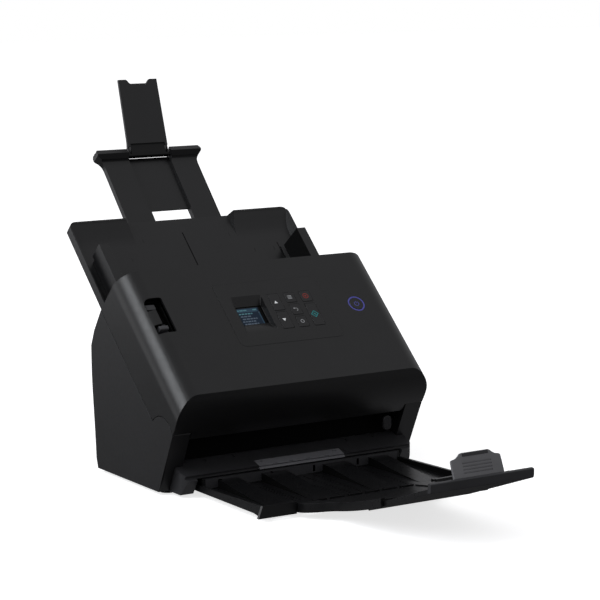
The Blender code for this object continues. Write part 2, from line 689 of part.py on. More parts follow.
def make_tray_back():
    back_line = [ext_yz(-1, -9), tray_yz(-2, -12.4), tray_yz(-120.4, -12.4), (1.2, 146.4)]
    foot = [(3.4, 136), (3.4, 121), (6.2, 121), (6.2, 128.9), (10.7, 128.9), (12.0, 133.5), ext_yz(-101, -9)]
    back = slab("tray_back_housing", back_line + foot, -120, 120, SIDE)
    room = [ext_yz(8, -7.2), ext_yz(-99, -7.2), ext_yz(-99, 30), ext_yz(8, 30)]
    cut(back, slab("extension_room", room, -58.4, 58.4, SIDE))
    side = [ext_yz(-8, -6.6), ext_yz(-98, -6.6), ext_yz(-98, 30), ext_yz(-8, 30)]
    for sign, lo, hi in both_sides(60.8, 117.6):
        cut(back, slab(f"housing_pocket_{sign}", side, lo, hi, SIDE))
    cut(back, box("rack_room", (-118.4, 118.4), (RACK_S - 11.5, RACK_S + 11.5), (-16.2, 0), TRAY))
    return finish(back, "body_black")


def make_guide(name, sign):
    """Document guide: a fence that stands on the tray near its edge."""
    section = [(119.5, -8.2), (119.5, 1.2), (123.75, 2.4), (123.75, 21.4), (122.9, 22.2), (114.2, 22.2),
               (113.3, 21.4), (109.5, -6.0), (106.0, -6.9), (106.0, -8.2)]
    section = [(sign * x, n) for x, n in section]
    down = frame((0, *TRAY_TOP), (1, 0, 0), TRAY.to_3x3() @ Vector((0, 0, 1)))
    guide = slab(name, section, 47.8, 115.5, down)
    s = RACK_S - sign * 8.0
    x0, x1 = sorted((sign * -12, sign * 117))
    fuse(guide, box(name + "_rack", (x0, x1), (s - 1.9, s + 1.9), (-14.8, -12.8), TRAY))
    x0, x1 = sorted((sign * 110.5, sign * 116.5))
    fuse(guide, box(name + "_post", (x0, x1), (s - 1.8, s + 1.8), (-14.0, -7.6), TRAY))
    return finish(guide, "tray_black")


def make_pinion():
    """Toothed wheel that couples the two racks."""
    teeth = 12
    outline = []
    for i in range(teeth * 4):
        r = PINION_R if i % 4 in (0, 1) else PINION_R - 1.0
        a = 2 * math.pi * (i + 0.5) / (teeth * 4)
        outline.append((r * math.cos(a), RACK_S + r * math.sin(a)))
    return finish(slab("guide_pinion", outline, -14.9, -12.7, TRAY), "inner_black")


# ------------------------------------------------------- extension and flap
EXT_LOW, EXT_HIGH = -26.0, 94.0
FLAP_AT = 89.0
FLAP_LEAN = 73.0


def make_extension():
    plan = [(-56.5, EXT_LOW), (56.5, EXT_LOW), (56.5, 78), (60, 84), (63.3, 86), (63.3, EXT_HIGH),
            (26, EXT_HIGH), (26, 87.5), (-26, 87.5), (-26, EXT_HIGH), (-63.3, EXT_HIGH), (-63.3, 86), (-60, 84),
            (-56.5, 78)]
    plate = slab("tray_extension", plan, -6.0, 0.0, EXT)
    bar = [(79, -4), (79, 0), (81.6, 0.9), (83.6, 3.5), (88.8, 6.8), (94.5, 5.0), (90, -4)]
    for sign, lo, hi in both_sides(26.0, 63.3):
        fuse(plate, slab(f"end_bar_{sign}", [ext_yz(s, n) for s, n in bar], lo, hi, SIDE))
    cut(plate, box("flap_channel", (-25.2, 25.2), (17, 92), (-4.0, 9), EXT))
    cut(plate, box("view_hole", (-23.8, 23.8), (-0.4, 18.8), (-10, 4), EXT))
    cut(plate, box("under_relief_left", (-52, -27), (-22, 80), (-8, -2.4), EXT))
    cut(plate, box("under_relief_right", (27, 52), (-22, 80), (-8, -2.4), EXT))
    cut(plate, rod("flap_pin_bore", 1.5, -60, 60, ext_yz(FLAP_AT, 0), 16))
    return finish(plate, "tray_black")


def make_flap():
    place = sloped(ext_yz(FLAP_AT, 0), FLAP_LEAN)
    plan = [(-24.2, 9), (24.2, 9), (23.3, 82), (14, 82), (10.2, 77.4), (-10.2, 77.4), (-14, 82), (-23.3, 82)]
    flap = slab("extension_flap", plan, 0.6, 3.6, place)
    side = frame((0, *ext_yz(FLAP_AT, 0)), place.to_3x3() @ Vector((0, 1, 0)),
                 place.to_3x3() @ Vector((0, 0, 1)))
    curl = [(0, -3.2), (0, 3.0), (4, 3.4), (9, 2.6), (13.5, 3.3), (13.5, 0.7), (9, -0.6), (4, -2.4)]
    fuse(flap, slab("flap_curl", curl, -20.8, 20.8, side))
    for sign, lo, hi in both_sides(21.6, 24.2):
        fuse(flap, slab(f"flap_arm_{sign}", curl, lo, hi, side))
    fuse(flap, rod("flap_barrel", 3.2, -24.2, 24.2, ext_yz(FLAP_AT, 0), 20))
    cut(flap, rod("flap_bore", 1.5, -30, 30, ext_yz(FLAP_AT, 0), 16))
    pin = finish(rod("flap_pin", 1.2, -38, 38, ext_yz(FLAP_AT, 0), 12), "steel")
    return finish(flap, "tray_black"), pin


# ---------------------------------------------------------------- eject tray
def ski_z(y):
    """Height of the eject extension's lower edge."""
    u = EJECT_FRONT + 1 - y
    return 4.0 + 0.1306 * u + 0.000906 * u * u


def make_eject_tray():
    tray = box("eject_tray", (-EJECT_HALF, EJECT_HALF), (-255, -118), (5.2, 7.2))
    for sign in (-1, 1):
        rail = [(-118, 4.8), (-118, 10.4), (-159, 11.4), (-262, 14.9), (-262, 3.3), (-259.4, 3.3), (-247, 5.2)]
        lo, hi = sorted((sign * (EJECT_HALF - 3.2), sign * EJECT_HALF))
        fuse(tray, slab(f"rail_{sign}", rail, lo, hi, SIDE))
        face = [(sign * 79.8, 3.0), (sign * 121.5, 3.3), (sign * 117.0, 14.9), (sign * 79.8, 14.4)]
        fuse(tray, slab(f"front_bar_{sign}", face, 259.8, 263, frame((0, 0, 0), (1, 0, 0), (0, 0, 1))))
        lo, hi = sorted((sign * 79.8, sign * 87))
        fuse(tray, box(f"hinge_block_{sign}", (lo, hi), (-262.6, -254.4), (3.8, 13.4)))
        cut(tray, rod(f"hinge_bore_{sign}", 1.8, lo - 1 if sign > 0 else lo + 2, hi - 2 if sign > 0 else hi + 1,
                      EJECT_AXIS, 12))
        for name, x0, x1 in (("outer", 77, 98), ("inner", 22, 49)):
            ramp = [(-152.5, 7.0), (-152.5, 15.6), (-175, 13.4), (-240, 7.9), (-240, 7.0)]
            lo, hi = sorted((sign * x0, sign * x1))
            fuse(tray, slab(f"ramp_{name}_{sign}", ramp, lo, hi, SIDE))
    fuse(tray, box("eject_rear_wall", (-115, 115), (-153.4, -150.8), (6.2, 17.9)))
    return finish(tray, "tray_black")


def make_eject_extension():
    ys = [-262 - i * (368 - 262) / 8 for i in range(9)]
    low = [(y, ski_z(y)) for y in ys]
    high = [(y, ski_z(y) + 8.5) for y in reversed(ys)]
    ext = slab("eject_extension", low + high, -79.3, 79.3, SIDE)
    flare = [(-79.3, -250), (-79.3, -262), (-79.0, -268), (-76, -276), (-70, -284), (-63, -290),
             (-60, -298), (-60, -372)]
    plan = flare + [(-x, y) for x, y in reversed(flare)]
    boolean(ext, slab("extension_plan", plan, -10, 80, PLAN), "INTERSECT")
    inner_low = [(y, ski_z(y) - 6) for y in ys[1:]]
    inner_high = [(y, ski_z(y) + 6.3) for y in reversed(ys[1:])]
    inside = slab("extension_inside", [(-272, 2)] + inner_low + [(-376, 30), (-376, 42)] + inner_high,
                  -57.6, 57.6, SIDE)
    cut(ext, inside)
    fuse(ext, box("cross_web", (-58, 58), (-300, -297.4), (10.4, 17.0)))
    fuse(ext, rod("extension_pivot", 1.4, -83.6, 83.6, EJECT_AXIS, 12))
    for sign, lo, hi in both_sides(73, 79.1):
        fuse(ext, box(f"pivot_lug_{sign}", (lo, hi), (-268, -257.8), (6.7, 10.5)))
    return finish(ext, "tray_black")


END_SLOPE = 20.3
END_ORIGIN = (-345.0, 20.0)


def make_end_plate():
    place = sloped(END_ORIGIN, -END_SLOPE)
    plate = box("eject_end_plate", (-57.2, 57.2), (-98.0, 0), (0, 4.6), place)
    bar = [(-437.6, 55.0), (-437.6, 62.6), (-433.6, 63.2), (-433.0, 54.0)]
    fuse(plate, slab("end_bar", bar, -57, 57, SIDE))
    for sign, lo, hi in both_sides(30.5, 33.5):
        ear = box(f"stopper_ear_{sign}", (lo, hi), (-434.6, -430.0), (55, 62.4))
        fuse(plate, cut(ear, rod(f"ear_bore_{sign}", 1.2, lo - 1, hi + 1, STOPPER_AXIS, 12)))
    return finish(plate, "tray_black")


def make_stopper():
    place = sloped(STOPPER_AXIS, 90 - STOPPER_LEAN)
    plan = [(-27.6, -0.6), (27.6, -0.6), (27.0, 17.6), (21, 18.6), (14.5, 23), (-14.5, 23), (-21, 18.6),
            (-27.0, 17.6)]
    plate = slab("eject_stopper", plan, -1.2, 1.2, place)
    fuse(plate, rod("stopper_pivot", 0.9, -33, 33, STOPPER_AXIS, 12))
    for i in range(4):
        s = 4.4 + 2.9 * i
        cut(plate, box(f"stopper_rib_{i}", (-17, 17), (s, s + 1.1), (0.4, 3), place))
    return finish(plate, "grip_grey")


# ------------------------------------------------------------------ assembly
def build():
    left_side = make_side_panel("left_side_panel", -1)
    right_side = make_side_panel("right_side_panel", 1)
    make_rear_cover()
    make_base_tub()
    make_exit_ledge()
    make_grip()
    make_feet()

    make_lower_guide()
    _, _, top_glass, top_bar = make_scan_heads()
    feed, drive, out = make_rollers()
    make_belt("motor_belt", [(*FEED_YZ, FEED_PULLEY), (*MOTOR_YZ, MOTOR_PULLEY)], -137, -133)
    chain = [(*FEED_YZ, SIDE_PULLEY), (*DRIVE_YZ, DRIVE_PULLEY), (*EXIT_YZ, DRIVE_PULLEY)]
    make_belt("roller_belt", chain, 133, 137)
    make_frame_plate("left_frame_plate", -1)
    make_frame_plate("right_frame_plate", 1)
    _, motor_shaft = make_drive()
    make_electronics()
    joint_axis("feed_axis", (0, *FEED_YZ), [feed])
    joint_axis("drive_axis", (0, *DRIVE_YZ), [drive])
    joint_axis("eject_axis", (0, *EXIT_YZ), [out])
    joint_axis("motor_axis", (-130, *MOTOR_YZ), [motor_shaft])

    cover = make_front_cover()
    bezel, screen, board, ring, keys = make_controls()
    pocket, lever = make_lever()
    guide = make_inner_guide()
    unit = joint_axis("front_unit_axis", (0, *HINGE),
                      [cover, bezel, screen, board, ring, pocket, guide, top_glass, top_bar])
    for key in keys:
        joint_axis(key.name + "_axis", (0, *panel_yz(85, 0)), [key], unit)
    joint_axis("lever_axis", (-124, *panel_yz(83, -2)), [lever], unit)
    for roller, (s, n, _) in zip(make_upper_rollers(), (SEPARATOR, PINCH, TOP_EXIT)):
        joint_axis(roller.name + "_axis", (0, *panel_yz(s, n)), [roller], unit)

    make_feed_tray()
    make_tray_back()
    for name, sign in (("left_guide", -1), ("right_guide", 1)):
        joint_axis(name + "_axis", (sign * 116, *tray_yz(RACK_S, PAPER_N)), [make_guide(name, sign)])
    joint_axis("pinion_axis", (0, *tray_yz(RACK_S, -13)), [make_pinion()])

    flap, pin = make_flap()
    slide = joint_axis("extension_axis", (0, *EXT_ORIGIN), [make_extension(), pin])
    joint_axis("flap_axis", (0, *ext_yz(FLAP_AT, 0)), [flap], slide)

    eject = joint_axis("eject_tray_axis", (0, -200, 6), [make_eject_tray()])
    rise = joint_axis("eject_extension_axis", (0, *EJECT_AXIS), [make_eject_extension()], eject)
    end = joint_axis("end_plate_axis", (0, *END_ORIGIN), [make_end_plate()], rise)
    joint_axis("stopper_axis", (0, *STOPPER_AXIS), [make_stopper()], end)


build()
bpy.context.view_layer.update()
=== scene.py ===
"""Looks for the sheet fed document scanner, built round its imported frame.

Sizes are drawing millimetres, as in the CAD: x to the right seen from the
front, y to the back with y = 0 at the rear foot edge of the body, z up.
world() turns a drawing point into the frame's metres. Each visible CAD node
is replaced by a finer piece with rounded edges, or kept with a better finish.
"""
import json
import math
import random

import bmesh
import bpy
from mathutils import Matrix, Vector

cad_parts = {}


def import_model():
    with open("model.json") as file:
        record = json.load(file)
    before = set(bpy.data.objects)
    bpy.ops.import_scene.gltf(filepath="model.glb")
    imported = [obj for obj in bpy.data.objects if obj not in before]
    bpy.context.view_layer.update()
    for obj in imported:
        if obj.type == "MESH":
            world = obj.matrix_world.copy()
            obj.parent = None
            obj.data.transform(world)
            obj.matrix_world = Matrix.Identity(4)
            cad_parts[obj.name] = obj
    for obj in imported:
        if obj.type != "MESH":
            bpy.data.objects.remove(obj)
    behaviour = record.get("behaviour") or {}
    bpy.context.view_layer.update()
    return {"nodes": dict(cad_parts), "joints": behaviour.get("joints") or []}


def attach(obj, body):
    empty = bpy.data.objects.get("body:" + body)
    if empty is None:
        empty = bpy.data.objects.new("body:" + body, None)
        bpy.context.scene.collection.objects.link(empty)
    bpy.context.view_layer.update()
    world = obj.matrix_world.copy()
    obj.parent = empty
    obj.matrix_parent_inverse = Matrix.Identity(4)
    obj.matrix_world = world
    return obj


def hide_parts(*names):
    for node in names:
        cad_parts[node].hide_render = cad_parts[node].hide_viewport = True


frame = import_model()

MM = 0.001
JOINTS = {joint["name"]: joint for joint in frame["joints"]}
HINGE = (-128.0, 55.0)                    # front unit's axis (y, z)
Y_SHIFT = JOINTS["front_unit_hinge"]["pos_m"][1] / MM - HINGE[0]

BODY_HALF = 145.5
WALL = 3.0
PANEL_SLOPE = 42.8
CREASE = (-161.0, 102.5)
PANEL_LEN = 152.5
PATH_DEPTH = -57.2
EDGE_R = 22.0
SKIN = 2.6
EAR_R = 22.6
COLUMN_W = 20.0
COLUMN_FOOT = (-121.7, 3.0)
TRAY_SLOPE = 44.0
TRAY_TOP = (82.0, 241.0)
TRAY_HALF = 132.5
PAPER_N = -8.5
EXT_SLOPE = 48.0
FLAP_AT = 89.0
FLAP_LEAN = 73.0
EJECT_HALF = 117.0
EJECT_FRONT = -263.0
EJECT_AXIS = (-259.6, 8.6)
STOPPER_AXIS = (-431.8, 60.9)
STOPPER_LEAN = 22.0
END_SLOPE = 20.3
END_ORIGIN = (-345.0, 20.0)


# -------------------------------------------------------------------- frames
def world(x, y, z):
    return Vector((x, y + Y_SHIFT, z)) * MM


def axes(origin, ex, ey):
    """Matrix whose local x and y lie along ex and ey, at a drawing point."""
    ex = Vector(ex).normalized()
    ey = Vector(ey).normalized()
    turn = Matrix((ex, ey, ex.cross(ey))).transposed().to_4x4()
    return Matrix.Translation(world(*origin)) @ turn


def sloped(origin_yz, degrees):
    """Frame on a slope: local x right, y up the slope, z away from it."""
    a = math.radians(degrees)
    return axes((0, *origin_yz), (1, 0, 0), (0, math.cos(a), math.sin(a)))


def on_slope(origin_yz, degrees, s, n):
    a = math.radians(degrees)
    y = origin_yz[0] + s * math.cos(a) - n * math.sin(a)
    z = origin_yz[1] + s * math.sin(a) + n * math.cos(a)
    return (y, z)


def panel_yz(s, n):
    return on_slope(CREASE, PANEL_SLOPE, s, n)


def tray_yz(s, n):
    return on_slope(TRAY_TOP, TRAY_SLOPE, s, n)


EXT_ORIGIN = tray_yz(0, -12.5)


def ext_yz(s, n):
    return on_slope(EXT_ORIGIN, EXT_SLOPE, s, n)


ON_EDGE = Matrix(((0, 0, 1, 0), (1, 0, 0, 0), (0, 1, 0, 0), (0, 0, 0, 1)))    # local y, z, x become x, y, z
SIDE = axes((0, 0, 0), (0, 1, 0), (0, 0, 1))
PLAN = axes((0, 0, 0), (1, 0, 0), (0, 1, 0))
PANEL = sloped(CREASE, PANEL_SLOPE)
TRAY = sloped(TRAY_TOP, TRAY_SLOPE)
EXT = sloped(EXT_ORIGIN, EXT_SLOPE)
FLAP = sloped(ext_yz(FLAP_AT, 0), FLAP_LEAN)
FLAP_SIDE = FLAP @ ON_EDGE
FRONT = axes((0, 0, 0), (1, 0, 0), (0, 0, 1))
TRAY_DOWN = axes((0, *TRAY_TOP), (1, 0, 0), TRAY.to_3x3() @ Vector((0, 0, 1)))
LEDGE = sloped((-126.0, 31.0), 21.2)
END = sloped(END_ORIGIN, -END_SLOPE)
STOPPER = sloped(STOPPER_AXIS, 90 - STOPPER_LEAN)


# ------------------------------------------------------------------ outlines
def arc(cx, cy, radius, first, last, steps):
    out = []
    for i in range(steps + 1):
        a = math.radians(first + (last - first) * i / steps)
        out.append((cx + radius * math.cos(a), cy + radius * math.sin(a)))
    return out


def rounded(x0, x1, y0, y1, radii, steps=8):
    """Rectangle outline; one radius, or four for x0y0, x1y0, x1y1, x0y1."""
    if not isinstance(radii, tuple):
        radii = (radii,) * 4
    corners = ((x0, y0, 1, 1, 180), (x1, y0, -1, 1, 270), (x1, y1, -1, -1, 0), (x0, y1, 1, -1, 90))
    out = []
    for (cx, cy, dx, dy, a), r in zip(corners, radii):
        out += arc(cx + dx * r, cy + dy * r, r, a, a + 90, steps) if r else [(cx, cy)]
    return out


def curve_through(points, steps=6):
    """Smooth line through points (Catmull-Rom)."""
    ends = [points[0]] + points + [points[-1]]
    out = []
    for p0, p1, p2, p3 in zip(ends, ends[1:], ends[2:], ends[3:]):
        for i in range(steps):
            t = i / steps
            out.append(tuple(0.5 * (2 * b + (c - a) * t + (2 * a - 5 * b + 4 * c - d) * t * t
                                    + (3 * b - a - 3 * c + d) * t ** 3)
                             for a, b, c, d in zip(p0, p1, p2, p3)))
    return out + [points[-1]]


def stroke(points, width):
    """Outline of an open line of some width."""
    left, right = [], []
    last = len(points) - 1
    for i, (x, y) in enumerate(points):
        ax, ay = points[max(i - 1, 0)]
        bx, by = points[min(i + 1, last)]
        length = math.hypot(bx - ax, by - ay)
        dx, dy = (by - ay) / length * width / 2, -(bx - ax) / length * width / 2
        left.append((x + dx, y + dy))
        right.append((x - dx, y - dy))
    return left + right[::-1]


def front_face_y(z):
    lean = max(0.0, 97.0 - z)
    return CREASE[0] - 0.2 + 0.01034 * lean * lean


def column_face_y(z):
    return COLUMN_FOOT[0] - (z - COLUMN_FOOT[1]) * 0.4606


def ski_z(y):
    """Height of the eject extension's lower edge."""
    u = EJECT_FRONT + 1 - y
    return 4.0 + 0.1306 * u + 0.000906 * u * u


# -------------------------------------------------------------------- solids
def add_prism(bm, outline, z0, z1):
    low = [bm.verts.new((x * MM, y * MM, z0 * MM)) for x, y in outline]
    high = [bm.verts.new((x * MM, y * MM, z1 * MM)) for x, y in outline]
    bm.faces.new(low[::-1])
    bm.faces.new(high)
    for i in range(len(outline)):
        j = (i + 1) % len(outline)
        bm.faces.new((low[i], low[j], high[j], high[i]))


def add_ring(bm, inner, outer, z0, z1):
    """Flat ring between two outlines with the same number of points."""
    rings = []
    for outline, z in ((inner, z0), (outer, z0), (outer, z1), (inner, z1)):
        rings.append([bm.verts.new((x * MM, y * MM, z * MM)) for x, y in outline])
    for a, b in zip(rings, rings[1:] + rings[:1]):
        for i in range(len(a)):
            j = (i + 1) % len(a)
            bm.faces.new((a[i], a[j], b[j], b[i]))


def to_object(name, bm, matrix):
    bmesh.ops.recalc_face_normals(bm, faces=bm.faces)
    mesh = bpy.data.meshes.new(name)
    bm.to_mesh(mesh)
    bm.free()
    ob = bpy.data.objects.new(name, mesh)
    bpy.context.scene.collection.objects.link(ob)
    ob.matrix_world = matrix
    return ob


def plates(name, outlines, z0, z1, matrix):
    """One mesh of flat pieces, each from an outline."""
    bm = bmesh.new()
    for outline in outlines:
        add_prism(bm, outline, z0, z1)
    return to_object(name, bm, matrix)


def slab(name, outline, z0, z1, matrix):
    return plates(name, [outline], z0, z1, matrix)


def box(name, xs, ys, zs, matrix=PLAN):
    return slab(name, [(xs[0], ys[0]), (xs[1], ys[0]), (xs[1], ys[1]), (xs[0], ys[1])], *zs, matrix)


def rod(name, radius, x0, x1, centre, segments=40):
    return slab(name, arc(*centre, radius, 0, 360 - 360 / segments, segments - 1), x0, x1, SIDE)


def lathe(name, profile, matrix, steps=64, closed=False):
    """Turned body about local z from (height, radius) points."""
    bm = bmesh.new()
    rings = []
    for h, r in profile:
        if r == 0:
            rings.append([bm.verts.new((0, 0, h * MM))] * steps)
        else:
            rings.append([bm.verts.new((x * MM, y * MM, h * MM))
                          for x, y in arc(0, 0, r, 0, 360 - 360 / steps, steps - 1)])
    for a, b in zip(rings, rings[1:] + (rings[:1] if closed else [])):
        for i in range(steps):
            j = (i + 1) % steps
            corners = []
            for v in (a[i], a[j], b[j], b[i]):
                if v not in corners:
                    corners.append(v)
            if len(corners) > 2:
                bm.faces.new(corners)
    return to_object(name, bm, matrix)


def skin(name, levels, matrix):
    """Closed skin through outlines with the same number of points, each with its height."""
    bm = bmesh.new()
    rings = []
    for outline, z in levels:
        rings.append([bm.verts.new((x * MM, y * MM, z * MM)) for x, y in outline])
    for low, high in zip(rings, rings[1:]):
        for i in range(len(low)):
            j = (i + 1) % len(low)
            bm.faces.new((low[i], low[j], high[j], high[i]))
    bm.faces.new(rings[0][::-1])
    bm.faces.new(rings[-1])
    return to_object(name, bm, matrix)


def settle(ob):
    """Turn an object's modifiers into its mesh."""
    bpy.context.view_layer.update()
    seen = ob.evaluated_get(bpy.context.evaluated_depsgraph_get())
    mesh = bpy.data.meshes.new_from_object(seen)
    ob.modifiers.clear()
    ob.data = mesh
    return ob


def combine(ob, tools, operation):
    for tool in tools:
        step = ob.modifiers.new(tool.name, "BOOLEAN")
        step.operation = operation
        step.solver = "EXACT"
        step.object = tool
    settle(ob)
    for tool in tools:
        bpy.data.objects.remove(tool, do_unlink=True)
    return ob


def cut(ob, *tools):
    return combine(ob, tools, "DIFFERENCE")


def fuse(ob, *tools):
    return combine(ob, tools, "UNION")


def common(ob, *tools):
    return combine(ob, tools, "INTERSECT")


def soften(ob, width, segments=3, angle=28):
    """Round the edges and shade smoothly."""
    bm = bmesh.new()
    bm.from_mesh(ob.data)
    bmesh.ops.remove_doubles(bm, verts=bm.verts, dist=2e-6)
    bmesh.ops.dissolve_degenerate(bm, edges=bm.edges, dist=2e-6)
    for face in bm.faces:
        face.smooth = True
    bm.to_mesh(ob.data)
    bm.free()
    if width:
        step = ob.modifiers.new("rounding", "BEVEL")
        step.width = width * MM
        step.segments = segments
        step.limit_method = "ANGLE"
        step.angle_limit = math.radians(angle)
        step.harden_normals = False
        step.miter_outer = "MITER_ARC"
    step = ob.modifiers.new("normals", "WEIGHTED_NORMAL")
    step.keep_sharp = False
    step.weight = 80
    return ob


def both_sides(x0, x1):
    return ((-1, -x1, -x0), (1, x0, x1))


# ----------------------------------------------------------------- materials
def new_material(name):
    mat = bpy.data.materials.new(name)
    mat.use_nodes = True
    tree = mat.node_tree
    return mat, tree, tree.nodes["Principled BSDF"]


def noise(tree, place, scale, detail=3.0, roughness=0.55):
    node = tree.nodes.new("ShaderNodeTexNoise")
    node.inputs["Scale"].default_value = scale
    node.inputs["Detail"].default_value = detail
    node.inputs["Roughness"].default_value = roughness
    tree.links.new(place, node.inputs["Vector"])
    return node.outputs["Fac"]


def spread(tree, value, low, high, dest):
    """Map a 0.3 to 0.7 noise onto a range and feed it to a socket."""
    node = tree.nodes.new("ShaderNodeMapRange")
    node.inputs["From Min"].default_value = 0.3
    node.inputs["From Max"].default_value = 0.7
    node.inputs["To Min"].default_value = low
    node.inputs["To Max"].default_value = high
    tree.links.new(value, node.inputs["Value"])
    tree.links.new(node.outputs["Result"], dest)


def shade_mix(tree, value, dark, light, dest):
    node = tree.nodes.new("ShaderNodeValToRGB")
    node.color_ramp.elements[0].position = 0.32
    node.color_ramp.elements[1].position = 0.68
    node.color_ramp.elements[0].color = (*dark, 1)
    node.color_ramp.elements[1].color = (*light, 1)
    tree.links.new(value, node.inputs["Fac"])
    tree.links.new(node.outputs["Color"], dest)


def plastic(name, colour, roughness, grain=2600.0, depth=0.035, specular=0.35, vary=0.12):
    """Moulded plastic: spark-eroded grain, faint flow marks and handling sheen."""
    mat, tree, shader = new_material(name)
    place = tree.nodes.new("ShaderNodeTexCoord").outputs["Object"]
    shader.inputs["Specular IOR Level"].default_value = specular
    flow = noise(tree, place, 22.0, 4.0)
    shade_mix(tree, flow, [c * (1 - vary) for c in colour], [c * (1 + vary) for c in colour],
              shader.inputs["Base Color"])
    spread(tree, noise(tree, place, 260.0, 5.0), roughness - 0.035, roughness + 0.035,
           shader.inputs["Roughness"])
    bump = tree.nodes.new("ShaderNodeBump")
    bump.inputs["Strength"].default_value = 0.35
    bump.inputs["Distance"].default_value = depth * MM
    tree.links.new(noise(tree, place, grain, 2.0), bump.inputs["Height"])
    tree.links.new(bump.outputs["Normal"], shader.inputs["Normal"])
    return mat


def metal(name, colour, roughness, along=(8.0, 900.0, 900.0)):
    """Rolled or turned metal with fine lines."""
    mat, tree, shader = new_material(name)
    place = tree.nodes.new("ShaderNodeTexCoord").outputs["Object"]
    stretch = tree.nodes.new("ShaderNodeMapping")
    stretch.inputs["Scale"].default_value = along
    tree.links.new(place, stretch.inputs["Vector"])
    lines = noise(tree, stretch.outputs["Vector"], 1.0, 2.0)
    shader.inputs["Metallic"].default_value = 1.0
    shade_mix(tree, lines, [c * 0.8 for c in colour], colour, shader.inputs["Base Color"])
    spread(tree, lines, roughness - 0.08, roughness + 0.08, shader.inputs["Roughness"])
    return mat


def lit(name, colour, strength, base=(0.01, 0.01, 0.01)):
    """Glowing print or lamp, a little uneven; on the key prints the glow is painted light."""
    mat, tree, shader = new_material(name)
    place = tree.nodes.new("ShaderNodeTexCoord").outputs["Object"]
    shade_mix(tree, noise(tree, place, 900.0), [c * 0.82 for c in colour], colour,
              shader.inputs["Emission Color"])
    shader.inputs["Emission Strength"].default_value = strength
    shader.inputs["Base Color"].default_value = (*base, 1)
    shader.inputs["Roughness"].default_value = 0.35
    shader.inputs["Specular IOR Level"].default_value = 0.12
    return mat


def board_finish(name):
    """Lacquered circuit board with faint copper areas under the lacquer."""
    mat, tree, shader = new_material(name)
    place = tree.nodes.new("ShaderNodeTexCoord").outputs["Object"]
    cells = tree.nodes.new("ShaderNodeTexVoronoi")
    cells.distance = "MANHATTAN"
    cells.inputs["Scale"].default_value = 190.0
    tree.links.new(place, cells.inputs["Vector"])
    shade_mix(tree, cells.outputs["Distance"], (0.008, 0.075, 0.030), (0.020, 0.150, 0.060),
              shader.inputs["Base Color"])
    shader.inputs["Roughness"].default_value = 0.30
    return mat


def glass_finish(name):
    mat, tree, shader = new_material(name)
    place = tree.nodes.new("ShaderNodeTexCoord").outputs["Object"]
    shade_mix(tree, noise(tree, place, 60.0), (0.020, 0.028, 0.032), (0.030, 0.042, 0.048),
              shader.inputs["Base Color"])
    shader.inputs["Roughness"].default_value = 0.04
    shader.inputs["Coat Weight"].default_value = 1.0
    return mat


